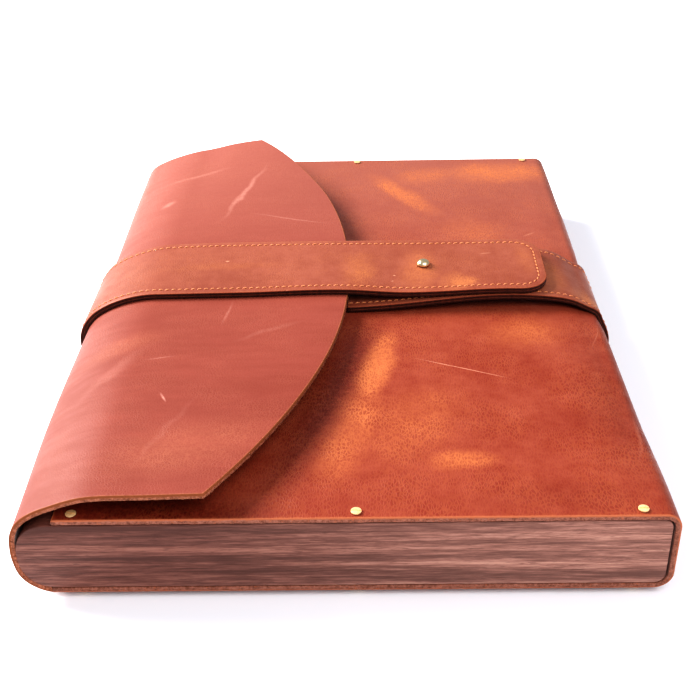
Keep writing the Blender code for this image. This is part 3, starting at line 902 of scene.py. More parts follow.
@dataclass(frozen=True)
class LeatherFinish:
    """Waxed pull-up leather: a mottled base, orange where the wax is pushed aside, pale
    scuffs and creases, and a rubbed line along the cut edges, on the flap partly a painted
    highlight. It also carries a paler painted sheen towards the rear, painted shade in given
    marks, and painted shade in a stitched groove."""

    name: str
    base: Colour
    deep: Colour
    # painted sheen: the rear's paler, pinker tone stands in for the pale surround's reflection at
    # grazing angles
    rear: Colour
    pull: Colour
    scuff: Colour
    patches: tuple[Mark, ...] = ()
    scuffs: tuple[Mark, ...] = ()
    grain_scale: float = 850.0
    grain_depth: float = 0.10 * MM
    roughness: float = 0.46
    wear_reach: float = 1.3 * MM
    cell_shape: tuple[float, float, float] = (1.0, 1.0, 1.0)
    cloud_shape: tuple[float, float, float] = (1.0, 1.0, 1.0)
    # painted shade: marks that darken the leather to stand in for shadow
    painted_shades: tuple[Mark, ...] = ()
    painted_shade: Colour = (0.0, 0.0, 0.0)    # colour that the painted shade marks turn the leather into
    wear_and_highlight_share: float = 0.6            # strength of the lighter line at the edges: rubbed wear, on the flap partly a painted highlight
    crease_share: float = 0.2          # how far the grain's valleys show away from the patches
    sheen: float = 0.0
    painted_sheen_share: float = 0.75           # how far the rear takes on the painted sheen tone
    seam_gap: float = 0.0              # distance from the edge of a stitched groove that is painted darker as painted shade, 0 for none

    def material(self) -> bpy.types.Material:
        """Builds the grain side's material on the piece's own UV map, which is in metres."""
        made, w, shader = new_material(self.name, self.roughness, Specular_IOR_Level=0.30,
                                       Sheen_Weight=self.sheen, Sheen_Roughness=0.35)
        uv = w.node("UVMap", uv_map="UVMap").outputs["UV"]
        grain = w.group(GROUPS["grain"], {"Vector": uv, "Scale": self.grain_scale,
                                          "Cell Shape": self.cell_shape,
                                          "Cloud Shape": self.cloud_shape})
        valley, mottle = grain.outputs["Valley"], grain.outputs["Mottle"]
        back = w.node("SeparateXYZ", {0: uv}).outputs["Y"]
        colour = w.blend(mottle, self.deep, self.base)
        # painted sheen: towards the rear the colour turns to the paler rear tone
        rear = w.step(back, 0.09, 0.34, 0.0, self.painted_sheen_share)
        colour = w.blend(rear, colour, self.rear)
        colour = w.blend(w.math("MULTIPLY", grain.outputs["Speck"], 0.22), colour, self.deep)
        # painted shade: inside its marks the colour is darkened towards the painted shade colour
        painted_shade_mask = self._most(w, uv, self.painted_shades)
        if painted_shade_mask is not None:
            colour = w.blend(painted_shade_mask, colour, self.painted_shade)
        pulled = self._most(w, uv, self.patches)
        lines = w.math("MULTIPLY", valley, 0.14)
        if pulled is not None:
            near = w.step(pulled, 0.0, 0.45, self.crease_share, 0.9)
            lines = w.math("MULTIPLY", valley, near)
            colour = w.blend(pulled, colour, self.pull)
        colour = w.blend(lines, colour, self.pull)
        scuffed = self._most(w, uv, self.scuffs)
        if scuffed is not None:
            colour = w.blend(scuffed, colour, self.scuff)
        gap = w.node("Attribute", attribute_name="gap").outputs["Fac"]
        # painted shade: the stitched groove is darkened towards the deep tone
        if self.seam_gap:
            beside = w.math("ABSOLUTE", w.math("SUBTRACT", gap, self.seam_gap))
            groove = w.step(beside, 0.9 * MM, 0.3 * MM, 0.0, 0.7)
            colour = w.blend(groove, colour, self.deep)
        wear = w.group(GROUPS["wear"], {"Vector": uv, "Gap": gap, "Reach": self.wear_reach})
        edge_wear_and_highlight = w.math("MULTIPLY", wear.outputs["Mask"], self.wear_and_highlight_share)
        colour = w.blend(edge_wear_and_highlight, colour, self.pull)
        w.tree.links.new(colour, shader.inputs["Base Color"])
        rough = w.step(mottle, 0.0, 1.0, self.roughness + 0.07, self.roughness - 0.05)
        w.tree.links.new(rough, shader.inputs["Roughness"])
        bump = w.node("Bump", {"Strength": 0.75, "Distance": self.grain_depth,
                               "Height": grain.outputs["Height"]})
        w.tree.links.new(bump.outputs["Normal"], shader.inputs["Normal"])
        return made

    @staticmethod
    def _most(w: Writer, uv: Socket, marks: tuple[Mark, ...]) -> Socket | None:
        """The strongest of several marks at each point."""
        result = None
        for mark in marks:
            mask = mark.mask(w, uv)
            result = mask if result is None else w.math("MAXIMUM", result, mask)
        return result


@dataclass(frozen=True)
class FleshFinish:
    """The suede side, or lining, of the leather."""

    name: str
    light: Colour
    dark: Colour

    def material(self) -> bpy.types.Material:
        """Builds the material from matted fibres on the UV map."""
        made, w, shader = new_material(self.name, 0.88, Sheen_Weight=0.25, Sheen_Roughness=0.6,
                                       Specular_IOR_Level=0.3)
        uv = w.node("UVMap", uv_map="UVMap").outputs["UV"]
        fibre = w.group(GROUPS["fibre"], {"Vector": uv})
        cloud = w.step(w.noise(uv, 30.0, 3.0), 0.3, 0.7)
        both = w.math("ADD", w.math("MULTIPLY", fibre.outputs["Value"], 0.6),
                      w.math("MULTIPLY", cloud, 0.4))
        w.tree.links.new(w.blend(both, self.dark, self.light), shader.inputs["Base Color"])
        bump = w.node("Bump", {"Strength": 0.7, "Distance": 0.15 * MM,
                               "Height": fibre.outputs["Height"]})
        w.tree.links.new(bump.outputs["Normal"], shader.inputs["Normal"])
        return made


@dataclass(frozen=True)
class CutFinish:
    """A cut edge: a thin coloured line under the grain side, and matted fibres below it."""

    name: str
    line: Colour
    light: Colour
    dark: Colour
    line_depth: float = 0.30
    line_break: float = 0.25           # how much noise eats into the line
    flecks: float = 0.6                # strength of pale fibres below it

    def material(self) -> bpy.types.Material:
        """Builds the material from the depth below the grain side and the fibres."""
        made, w, shader = new_material(self.name, 0.8, Specular_IOR_Level=0.3)
        uv = w.node("UVMap", uv_map="UVMap").outputs["UV"]
        depth = w.node("Attribute", attribute_name="depth").outputs["Fac"]
        lower = w.math("MULTIPLY", depth, Plan.LEATHER)
        parts = w.node("SeparateXYZ", {0: uv})
        spot = w.node("CombineXYZ", {0: parts.outputs["X"], 1: parts.outputs["Y"], 2: lower})
        fibre = w.group(GROUPS["fibre"], {"Vector": spot.outputs[0]})
        colour = w.blend(fibre.outputs["Value"], self.dark, self.light)
        broken = w.noise(uv, 420.0, 3.0, 0.7)
        uneven = w.math("ADD", depth, w.math("MULTIPLY", fibre.outputs["Value"], 0.10))
        uneven = w.math("ADD", uneven, w.math("MULTIPLY", broken, self.line_break))
        under = w.step(uneven, self.line_depth, self.line_depth + 0.22)
        colour = w.blend(under, self.line, colour)
        flecks = w.step(w.noise(spot.outputs[0], 1100.0, 2.0, 0.5), 0.60, 0.70, 0.0, self.flecks)
        colour = w.blend(flecks, colour, self.line)
        w.tree.links.new(colour, shader.inputs["Base Color"])
        bump = w.node("Bump", {"Strength": 0.8, "Distance": 0.15 * MM,
                               "Height": fibre.outputs["Height"]})
        w.tree.links.new(bump.outputs["Normal"], shader.inputs["Normal"])
        return made


@dataclass(frozen=True)
class WalnutFinish:
    """Oiled walnut: fine streaks and pores that run along X, with paler bands, and a right end
    painted paler than the left as painted light.
    """

    name: str = "oiled_walnut"
    light: Colour = tone(148, 101, 87)
    middle: Colour = tone(121, 76, 65)
    dark: Colour = tone(86, 51, 43)
    painted_light_at_right: Colour = (1.75, 2.2, 2.3)   # painted light: how much paler the right end is than the left end
    # waves for each metre along X, Y and Z
    waver: tuple[float, float, float] = (9.0, 9.0, 30.0)
    streaks: tuple[float, float, float] = (60.0, 500.0, 1300.0)
    bands: tuple[float, float, float] = (5.0, 60.0, 200.0)
    pores: tuple[float, float, float] = (210.0, 1100.0, 3000.0)

    def pale(self, colour: Colour) -> Colour:
        """A tone of the left end as it is at the right end, paler by the painted light."""
        return tuple(part * more for part, more in zip(colour, self.painted_light_at_right))

    def material(self) -> bpy.types.Material:
        """Builds the material from noise drawn out along the bar."""
        made, w, shader = new_material(self.name, 0.55, Specular_IOR_Level=0.3)
        place = w.node("TexCoord").outputs["Object"]
        wavy = w.noise(w.stretch(place, self.waver), 1.0, 2.0, 0.5, "Color")
        wavy = w.node("VectorMath", {0: wavy, "Scale": 0.0020}, operation="SCALE").outputs[0]
        place = w.node("VectorMath", {0: place, 1: wavy}, operation="ADD").outputs[0]
        streak = w.noise(w.stretch(place, self.streaks), 1.0, 6.0, 0.72)
        band = w.noise(w.stretch(place, self.bands), 1.0, 3.0, 0.55)
        pore = w.noise(w.stretch(place, self.pores), 1.0, 2.0, 0.5)
        mixed = w.math("ADD", w.math("MULTIPLY", streak, 0.5), w.math("MULTIPLY", band, 0.5))
        # painted light: from left to right the bar's tones turn paler, standing in for more light
        # at the right end
        end = w.step(w.node("SeparateXYZ", {0: place}).outputs["X"], -0.08, 0.10)
        light, middle, dark = (w.blend(end, part, self.pale(part))
                               for part in (self.light, self.middle, self.dark))
        colour = w.blend(w.step(mixed, 0.38, 0.56), dark, middle)
        colour = w.blend(w.step(mixed, 0.48, 0.64), colour, light)
        pores = w.step(pore, 0.58, 0.68)
        colour = w.blend(w.math("MULTIPLY", pores, 0.65), colour, dark)
        w.tree.links.new(colour, shader.inputs["Base Color"])
        w.tree.links.new(w.step(streak, 0.3, 0.7, 0.62, 0.48), shader.inputs["Roughness"])
        height = w.math("SUBTRACT", w.math("MULTIPLY", streak, 0.6), pores)
        bump = w.node("Bump", {"Strength": 0.5, "Distance": 0.09 * MM, "Height": height})
        w.tree.links.new(bump.outputs["Normal"], shader.inputs["Normal"])
        return made


@dataclass(frozen=True)
class BrassFinish:
    """Brass with a little tarnish and fine turning marks."""

    name: str
    bright: Colour
    dull: Colour
    roughness: float
    metal: float = 1.0

    def material(self) -> bpy.types.Material:
        """Builds the metal's material."""
        made, w, shader = new_material(self.name, self.roughness, Metallic=self.metal)
        place = w.node("TexCoord").outputs["Object"]
        stain = w.step(w.noise(place, 900.0, 4.0, 0.6), 0.35, 0.70)
        w.tree.links.new(w.blend(stain, self.bright, self.dull), shader.inputs["Base Color"])
        rough = w.step(stain, 0.0, 1.0, self.roughness - 0.06, self.roughness + 0.12)
        w.tree.links.new(rough, shader.inputs["Roughness"])
        scratch = w.noise(w.stretch(place, (1.0, 6.0, 1.0)), 5200.0, 2.0)
        bump = w.node("Bump", {"Strength": 0.25, "Distance": 0.02 * MM, "Height": scratch})
        w.tree.links.new(bump.outputs["Normal"], shader.inputs["Normal"])
        return made


@dataclass(frozen=True)
class ThreadFinish:
    """Waxed thread of two strands twisted together."""

    name: str = "waxed_thread"
    light: Colour = tone(226, 148, 92)
    dark: Colour = tone(176, 92, 48)

    def material(self) -> bpy.types.Material:
        """Builds the material from slanted bands along the stitch."""
        made, w, shader = new_material(self.name, 0.5, Sheen_Weight=0.2)
        parts = w.node("SeparateXYZ", {0: w.node("UVMap", uv_map="UVMap").outputs["UV"]})
        turns = w.math("ADD", w.math("MULTIPLY", parts.outputs["X"], 1500.0),
                       parts.outputs["Y"])
        wave = w.math("SINE", w.math("MULTIPLY", turns, 2 * math.pi))
        ply = w.step(wave, -0.9, 0.7)
        w.tree.links.new(w.blend(ply, self.dark, self.light), shader.inputs["Base Color"])
        bump = w.node("Bump", {"Strength": 0.6, "Distance": 0.08 * MM, "Height": wave})
        w.tree.links.new(bump.outputs["Normal"], shader.inputs["Normal"])
        return made


class Finishes:
    """Every material of the case, made once."""

    def __init__(self) -> None:
        """Builds the materials."""
        flat = PLAN.at_x(0.0) / MM    # what turns a place along the bar into the flap's own
        self.panel = self.panel_leather().material()
        self.flap = self.flap_leather(flat).material()
        self.strap = self.strap_leather(flat).material()
        self.flesh = FleshFinish("flesh_side", tone(160, 94, 60), tone(104, 48, 28)).material()
        self.lining = FleshFinish("strap_lining", tone(120, 60, 38), tone(58, 22, 14)).material()
        self.raw = CutFinish("raw_cut_edge", tone(132, 74, 42), tone(182, 118, 92),
                             tone(96, 50, 30), line_depth=0.5).material()
        self.panel_cut = CutFinish("panel_cut_edge", tone(176, 104, 72), tone(166, 112, 94),
                                   tone(104, 58, 42)).material()
        self.dark_cut = CutFinish("burnished_cut_edge", tone(140, 66, 42), tone(76, 34, 22),
                                  tone(36, 12, 8), line_depth=0.18, line_break=0.2,
                                  flecks=0.2).material()
        self.walnut = WalnutFinish().material()
        # painted glint: the screws' brass is near white and only half metallic, so it shows as
        # pale as a glint of a bright surround
        self.screw = BrassFinish("screw_brass", tone(255, 228, 176), tone(242, 202, 142),
                                 roughness=0.34, metal=0.45).material()
        self.stud = BrassFinish("stud_brass", tone(250, 234, 196), tone(226, 200, 146),
                                roughness=0.24).material()
        self.thread = ThreadFinish().material()

    @staticmethod
    def panel_leather() -> LeatherFinish:
        """The wrap's leather. Its marks are placed from the panel's cut edge and the front."""
        return LeatherFinish(
            "panel_pull_up_leather", tone(149, 73, 54), tone(129, 48, 30), tone(151, 93, 79),
            tone(188, 112, 68), tone(200, 138, 114), grain_scale=620.0,
            cell_shape=(1.5, 0.62, 1.0),
            patches=(
                Mark((117, 102), (38, 10), 79, 0.8, 6), Mark((107, 56), (44, 15), 76, 0.36, 11),
                Mark((101, 34), (20, 14), 70, 0.3, 9), Mark((148, 34), (19, 9), 4, 0.5, 7),
                Mark((130, 60), (46, 26), 60, 0.22, 12), Mark((134, 292), (46, 11), -58, 0.5, 9),
                Mark((192, 322), (44, 22), 0, 0.55, 9), Mark((150, 318), (30, 18), 20, 0.3, 9),
                Mark((184, 130), (26, 20), 20, 0.3, 9), Mark((170, 240), (24, 30), 30, 0.2, 9)),
            # painted shade: the first three marks darken the panel's front right and its rear left
            # beside the flap
            painted_shade=tone(84, 16, 5), painted_shades=(
                Mark((218, 62), (30, 100), 4, 0.34, 14), Mark((190, 10), (60, 16), 0, 0.16, 9),
                Mark((100, 262), (14, 70), 8, 0.3, 9),
                # painted shade: the flap's shadow beside its bowed edge, and the dark gap under it
                # at the front left
                Mark((98, 80), (92, 15), 73, 0.72, 4, 0.8), Mark((34, 2), (60, 20), 0, 0.95, 2)),
            scuffs=(
                Mark((153, 100), (25, 0.42), -23, 0.75, 0.5, 0.5),
                Mark((200, 236), (6, 1.2), 35, 0.4, 3),
                Mark((218, 50), (22, 1.6), 80, 0.2, 5),
                Mark((216, 128), (16, 0.5), 76, 0.25, 4)))

    @staticmethod
    def flap_leather(flat: float) -> LeatherFinish:
        """The flap's leather, smoother and pinker; flat is where the bar's left end lies."""
        return LeatherFinish(
            "flap_pull_up_leather", tone(141, 70, 57), tone(128, 57, 43), tone(156, 92, 79),
            tone(204, 134, 100), tone(198, 142, 128), grain_depth=0.06 * MM, roughness=0.5,
            # the lighter line along the flap's cut edges is partly rubbed wear and partly a
            # painted highlight on the rounded edge
            cloud_shape=(0.35, 1.0, 1.0), wear_reach=1.0 * MM, wear_and_highlight_share=0.75,
            crease_share=0.07, sheen=0.02,
            patches=(
                Mark((flat + 60, 30), (46, 22), 20, 0.12),
                Mark((flat + 20, 110), (30, 12), 30, 0.1)),
            scuffs=(
                Mark((flat + 61, 268), (46, 2.6), 76, 0.45, 7),
                Mark((flat + 88, 232), (28, 0.9), -18, 0.35, 3),
                Mark((flat + 18, 262), (8, 4), 50, 0.45, 8),
                Mark((flat + 46, 64), (5, 0.7), 115, 0.8, 1),
                Mark((flat + 40, 97), (9, 0.9), 12, 0.3, 3),
                Mark((flat + 64, 138), (14, 1.0), 82, 0.25, 2),
                Mark((flat + 22, 88), (30, 5), 60, 0.15, 12),
                Mark((flat + 30, 300), (26, 3), 20, 0.25, 8),
                Mark((flat + 50, 40), (34, 2.4), 70, 0.08, 10),
                Mark((flat + 84, 120), (22, 3), 30, 0.12, 8)))

    @staticmethod
    def strap_leather(flat: float) -> LeatherFinish:
        """The strap's leather; the last two patches are on the lower run."""
        return LeatherFinish(
            "strap_pull_up_leather", tone(151, 87, 69), tone(126, 60, 42), tone(157, 92, 74),
            tone(180, 112, 70), tone(210, 154, 126), grain_depth=0.07 * MM,
            seam_gap=Strap.seam_inset, wear_and_highlight_share=0.45,
            patches=(
                Mark((flat + 124, 172), (12, 22), 0, 0.35),
                Mark((flat + 172, 160), (9, 10), 0, 0.8, 8),
                Mark((flat + 205, 180), (7, 22), 0, 0.2),
                Mark((flat + 60, 176), (40, 5), 2, 0.15),
                Mark((200, 172), (14, 26), 0, 0.4), Mark((216, 160), (12, 14), 0, 0.4)),
            scuffs=(
                Mark((flat + 60, 181), (1.4, 0.8), 10, 0.9, 1),
                Mark((flat + 141, 167), (1.0, 0.7), 10, 0.8, 1),
                Mark((flat + 140, 162), (0.9, 0.5), 40, 0.7, 1),
                Mark((flat + 186, 186), (4, 0.5), 5, 0.5, 1)))


# ---- sub-assemblies ----------------------------------------------------------------------
@dataclass
class WalnutBars:
    """The two end bars: a squarish round nose at the left, small radii at the right."""

    nose: float = 12.5 * MM
    nose_power: float = 2.2
    top_radius: float = 3.5 * MM
    foot_radius: float = 4.2 * MM
    bevel: float = 0.45 * MM

    def outline(self) -> Array:
        """The bar's face in XZ, turning left seen from the front.

        The nose is a superellipse: x and z are powers of the cosine and sine. The corners at
        the right are arcs.
        """
        middle, half = (PLAN.bar_top + PLAN.bar_foot) / 2, (PLAN.bar_top - PLAN.bar_foot) / 2
        angle = np.radians(np.linspace(90, 270, 49))
        power = 2 / self.nose_power
        x = PLAN.left + self.nose * (1 - np.abs(np.cos(angle)) ** power)
        z = middle + half * np.sign(np.sin(angle)) * np.abs(np.sin(angle)) ** power
        parts = [np.stack([x, z], -1)]
        for radius, z_mid, first in (
                (self.foot_radius, PLAN.bar_foot + self.foot_radius, -90),
                (self.top_radius, PLAN.bar_top - self.top_radius, 0)):
            turn = np.radians(np.linspace(first, first + 90, 13))
            parts.append(np.stack([PLAN.bar_right - radius + radius * np.cos(turn),
                                   z_mid + radius * np.sin(turn)], -1))
        return np.concatenate(parts)

    def build(self, finishes: Finishes) -> None:
        """Makes both bars as rings of the outline along Y, drawn in at each end as a bevel."""
        outline = self.outline()
        tangent = np.roll(outline, -1, 0) - np.roll(outline, 1, 0)
        inward = unit(np.stack([-tangent[:, 1], tangent[:, 0]], -1))
        count = len(outline)
        b = self.bevel
        rings = ((b, 0.0), (0.3 * b, 0.3 * b), (0.0, b), (0.0, PLAN.bar_width - b),
                 (0.3 * b, PLAN.bar_width - 0.3 * b), (b, PLAN.bar_width))
        for row, start in (("front", 0.0), ("rear", PLAN.depth - PLAN.bar_width)):
            points = []
            for inset, y in rings:
                flat = outline + inward * inset
                level = np.full(count, PLAN.front + start + y)
                points.append(np.stack([flat[:, 0], level, flat[:, 1]], -1))
            i = np.arange(count)
            faces = []
            for k in range(len(rings) - 1):
                a, c = i + k * count, i + (k + 1) * count
                faces += np.stack([a, c, np.roll(c, -1), np.roll(a, -1)], -1).tolist()
            faces.append(i.tolist())
            faces.append((i[::-1] + (len(rings) - 1) * count).tolist())
            bar = new_piece(f"walnut_{row}_bar", np.concatenate(points), faces,
                            [finishes.walnut], sharp=60)
            node = f"{row}_end_bar"
            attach(bar, "case")
            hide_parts(node)
            LOG.info("bar %s: %d faces", row, len(faces))


@dataclass
class LeatherWrap:
    """The wrap: top panel, right side and underside, as one closed sheet."""

    fine: float = 1.3 * MM
    coarse: float = 4.5 * MM

    def build(self, finishes: Finishes) -> None:
        """Lays the grid, close on the panel and the side, and wide on the underside."""
        r = HELD_CUT.rounding
        lengths = [length for length, _ in WRAP_LINE.stretches]
        side_end = sum(lengths[:4])
        along = steps((r, self.fine), (side_end, self.coarse), (sum(lengths), 0.0))
        across = steps((r, 1.6 * MM), (18 * MM, 3.4 * MM), (PLAN.depth - 18 * MM, 1.6 * MM),
                       (PLAN.depth - r, 0.0))
        s, y = np.meshgrid(along, across, indexing="ij")
        gap = np.minimum(np.minimum(y, PLAN.depth - y), s)
        free = frozenset((Side.FRONT, Side.REAR, Side.START))
        sheet = Sheet("wrap_panel_side_and_base", WrapSurface(), s, y, 0.0, -Plan.LEATHER, free,
                      HELD_CUT, gap, seed=11)
        wrap = sheet.build(finishes.panel, finishes.flesh, finishes.panel_cut)
        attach(wrap, "case")
        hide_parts("leather_wrap")
        LOG.info("wrap: %d faces", len(wrap.data.polygons))


@dataclass
class Flap:
    """The flap in four pieces that meet where nothing flexes: three round the curl, and the
    leaf with its bowed edge."""

    fine: float = 1.15 * MM
    piece_turn: float = 40.0
    rear_short: float = 5.4 * MM       # how far the rear corner falls short of the bow
    short_from: float = 262.0 * MM     # where it starts to, from the front
    bodies: tuple[str, ...] = ("case", "curl_strip_1", "curl_strip_2", "curl_strip_3", "flap")

    def bow_middle(self) -> float:
        """Where the bow's centre lies along the flap's line."""
        return PLAN.at_x(0.0) + PLAN.flap_reach - PLAN.left - Plan.BOW_RADIUS

    def short_by(self, y: Array) -> Array:
        """How much the flap's rear corner falls short of the bow's circle."""
        first = self.short_from
        return self.rear_short * np.clip((y - first) / (PLAN.depth - first), 0, 1) ** 1.2

    def edge_gap(self, s: Array, y: Array) -> Array:
        """Distance to the flap's nearest cut edge: front, rear or the bow's circle."""
        reach = s + self.short_by(y) - self.bow_middle()
        bow = Plan.BOW_RADIUS - np.hypot(reach, y - PLAN.depth / 2)
        return np.minimum(np.minimum(y, PLAN.depth - y), bow)

    def bow(self, y: Array, inset: float) -> Array:
        """Distance along the flap's line to its bowed edge, a circle's arc."""
        arc = np.sqrt((Plan.BOW_RADIUS - inset) ** 2 - (y - PLAN.depth / 2) ** 2)
        return self.bow_middle() + arc - self.short_by(y)

    def build(self, finishes: Finishes) -> None:
        """Builds the pieces."""
        r = RAW_CUT.rounding
        across = steps((r, 1.25 * MM), (PLAN.depth - r, 0.0))
        surface = FlapSurface()
        names = ("flap_curl_lower", "flap_curl_middle", "flap_curl_upper", "flap_leaf_bowed")
        nodes = ("flap_curl_1", "flap_curl_2", "flap_curl_3", "flap_leaf")
        for k, (name, node) in enumerate(zip(names, nodes)):
            start = PLAN.at_turn(self.piece_turn * k)
            free = {Side.FRONT, Side.REAR}
            if k < 3:
                stop = np.full_like(across, PLAN.at_turn(self.piece_turn * (k + 1)))
            else:
                stop = self.bow(across, r)
                free.add(Side.END)
            count = round((stop.max() - start) / self.fine)
            share = np.linspace(0, 1, count + 1)[:, None]
            s = start + share * (stop - start)[None]
            y = np.broadcast_to(across, s.shape)
            sheet = Sheet(name, surface, s, y, 0.0, -Plan.LEATHER, frozenset(free), RAW_CUT,
                          self.edge_gap(s, y), seed=21 + k)
            piece = sheet.build(finishes.flap, finishes.flesh, finishes.raw)
            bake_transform(piece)
            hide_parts(node)
            LOG.info("%s: %d faces", name, len(piece.data.polygons))


@dataclass(frozen=True)
class Ply:
    """One of the strap's two layers: its heights over the leather, and its materials."""

    name: str
    low: float
    high: float
    slot: str


FACE_PLY = Ply("face", 1.62 * MM, 3.1 * MM, "strap_leather")
LINING_PLY = Ply("lining", 0.2 * MM, 1.58 * MM, "strap_lining")


@dataclass
class Strap:
    """The strap: lower run belted round the case, upper run over the flap, and the tail."""

    seam_inset: float = 3.7 * MM
    groove: float = 0.16 * MM
    tail_start: float = 90.0 * MM
    tail_hinge: tuple[float, float] = (100.0 * MM, 116.0 * MM)
    hole_radius: float = 2.4 * MM

    def rows(self) -> Array:
        """Places across the strap, from -1 at the front edge to 1 at the rear, close together
        at the edges and at the seams."""
        side = np.array([0.3, 0.7, 1.3, 2.2, 2.9, 3.3, 3.7, 4.1, 4.5, 5.3, 7.5, 10, 13, 17, 20.5])
        near = side * MM / PLAN.strap_half - 1
        return np.concatenate([near, [0.0], -near[::-1]])

    def gap(self, s: Array, y: Array) -> Array:
        """Distance to the upper run's outline, whose far end has rounded corners."""
        tip = PLAN.at_x(PLAN.strap_tip - PLAN.left)
        p = s - (tip - Plan.TIP_RADIUS)
        q = np.abs(y - PLAN.strap_middle) - (PLAN.strap_half - Plan.TIP_RADIUS)
        outside = np.hypot(np.maximum(p, 0), np.maximum(q, 0))
        return Plan.TIP_RADIUS - outside - np.minimum(np.maximum(p, q), 0)

    def relief(self, gap: Array) -> Array:
        """The face's edges pressed down, and a groove where the thread pulls it in."""
        pressed = 0.30 * MM * np.exp(-gap / (1.1 * MM))
        pulled = self.groove * np.exp(-((gap - self.seam_inset) / (0.75 * MM)) ** 2)
        return -pressed - pulled

    def sheet(self, name: str, surface: Surface, s: Array, y: Array, gap: Array, ply: Ply,
              free: set, finishes: Finishes) -> bpy.types.Object:
        """One ply of one stretch of the strap."""
        face = ply is FACE_PLY
        made = Sheet(name, surface, s, y, ply.high, ply.low, frozenset(free), BURNISHED_CUT, gap,
                     relief=self.relief(gap) if face else 0.0, seed=len(name))
        grain = finishes.strap if face else finishes.lining
        piece = made.build(grain, finishes.lining, finishes.dark_cut)
        return piece

    def build_belt(self, finishes: Finishes) -> None:
        """The lower run, which doesn't move."""
        r, middle, half = BURNISHED_CUT.rounding, PLAN.strap_middle, PLAN.strap_half
        start = Plan.BELT_END - Plan.PANEL_START
        lengths = [length for length, _ in WRAP_LINE.stretches]
        total, base = sum(lengths), sum(lengths[:4])
        along = steps((start + r, 1.5 * MM), (lengths[0], 0.7 * MM), (sum(lengths[:2]), 1.2 * MM),
                      (sum(lengths[:3]), 0.7 * MM), (base, 3 * MM), (total, 0.0))
        s, v = np.meshgrid(along, self.rows(), indexing="ij")
        y = middle + v * half
        gap = np.minimum(half - np.abs(y - middle), s - start)
        free = {Side.FRONT, Side.REAR, Side.START}
        surface = BeltSurface()
        for ply in (FACE_PLY, LINING_PLY):
            piece = self.sheet(f"belt_{ply.name}", surface, s, y, gap, ply, free, finishes)
            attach(piece, "case")
            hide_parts(f"strap_belt_{ply.name}")
        thread = Thread()
        spots = np.concatenate([
            straight_seam(start, total, across, thread.pitch)
            for across in (PLAN.strap_front + self.seam_inset, PLAN.strap_rear - self.seam_inset)])
        seam = thread.build("belt_stitches", surface, spots, FACE_PLY.high - self.groove, False,
                            finishes.thread)
        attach(seam, "case")
        LOG.info("belt: %d columns, %d stitches", len(along), len(spots))

    def upper_seam(self, thread: Thread) -> Array:
        """Spots of the upper run's seam: along the front edge, round the tip and back.

        The seam is a line, a quarter circle, a line across the tip, a quarter circle and a
        line, all the same distance in from the edge.
        """
        inset = self.seam_inset
        tip = PLAN.at_x(PLAN.strap_tip - PLAN.left)
        low, high = PLAN.strap_front + inset, PLAN.strap_rear - inset
        radius = Plan.TIP_RADIUS - inset
        turn = tip - Plan.TIP_RADIUS
        straight, quarter = turn, math.pi / 2 * radius
        across = high - low - 2 * radius
        ends = np.cumsum([straight, quarter, across, quarter, straight])
        run = np.arange(thread.pitch / 2, ends[-1], thread.pitch)
        within = [run < end for end in ends[:-1]]
        angle = np.select(within, [0 * run, (run - ends[0]) / radius, 0 * run + math.pi / 2,
                                   math.pi / 2 + (run - ends[2]) / radius], math.pi)
        s = np.select(within, [run, turn + radius * np.sin(angle), 0 * run + turn + radius,
                               turn + radius * np.sin(angle)], turn - (run - ends[3]))
        y = np.select(within, [0 * run + low, low + radius * (1 - np.cos(angle)),
                               low + radius + run - ends[1],
                               high - radius * (1 + np.cos(angle))], high)
        return np.stack([s, y, np.cos(angle), np.sin(angle)], -1)

    def build_upper(self, finishes: Finishes) -> None:
        """The upper run: three stretches round the curl, one over the flap, and the tail."""
        r, middle, half = BURNISHED_CUT.rounding, PLAN.strap_middle, PLAN.strap_half
        surface = StrapSurface()
        thread = Thread()
        spots = self.upper_seam(thread)
        tip = PLAN.at_x(PLAN.strap_tip - PLAN.left)
        bounds = [PLAN.at_turn(t) for t in (0, 40, 80, 120)] + [PLAN.at_x(self.tail_start), tip]
        parts = (("curl_lower", "strap_curl_1", "case", "curl_strip_1"),
                 ("curl_middle", "strap_curl_2", "curl_strip_1", "curl_strip_2"),
                 ("curl_upper", "strap_curl_3", "curl_strip_2", "curl_strip_3"),
                 ("over_flap", "strap_over_flap", "curl_strip_3", "flap"),
                 ("tail", "strap_tail", "flap", "strap_tail"))
        for k, (name, node, before, after) in enumerate(parts):
            free = {Side.FRONT, Side.REAR}
            last = k == len(parts) - 1
            if last:
                free.add(Side.END)
                corner = tip - Plan.TIP_RADIUS
                angle = np.linspace(0, math.pi / 2, 22)[1:]
                bend = corner + (Plan.TIP_RADIUS - r) * np.sin(angle)
                along = np.concatenate([steps((bounds[k], 1.5 * MM), (corner, 0.0)), bend])
            else:
                along = steps((bounds[k], 1.0 * MM), (bounds[k + 1], 0.0))
            past = np.maximum(along - (tip - Plan.TIP_RADIUS), 0)[:, None]
            corner_in = Plan.TIP_RADIUS - r - np.sqrt(
                np.maximum((Plan.TIP_RADIUS - r) ** 2 - past ** 2, 0))
            v = self.rows()[None]
            y = middle + v * (half - corner_in * half / (half - r))
            s = np.broadcast_to(along[:, None], y.shape)
            gap = self.gap(s, y)
            here = spots[(spots[:, 0] >= bounds[k]) & (spots[:, 0] < bounds[k + 1])]
            pieces = []
            for ply in (FACE_PLY, LINING_PLY):
                piece = self.sheet(f"strap_{name}_{ply.name}", surface, s, y, gap, ply, free,
                                   finishes)
                if last:
                    self.cut_button_hole(piece)
                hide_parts(f"{node}_{ply.name}")
                pieces.append(piece)
            pieces.append(thread.build(f"stitches_{name}", surface, here,
                                       FACE_PLY.high - self.groove, False, finishes.thread))
            pieces.append(thread.build(f"stitches_{name}_under", surface, here, LINING_PLY.low,
                                       True, finishes.thread))
            for piece in pieces:
                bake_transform(piece)
            LOG.info("strap %s: %d columns, %d stitches", name, len(along), len(here))

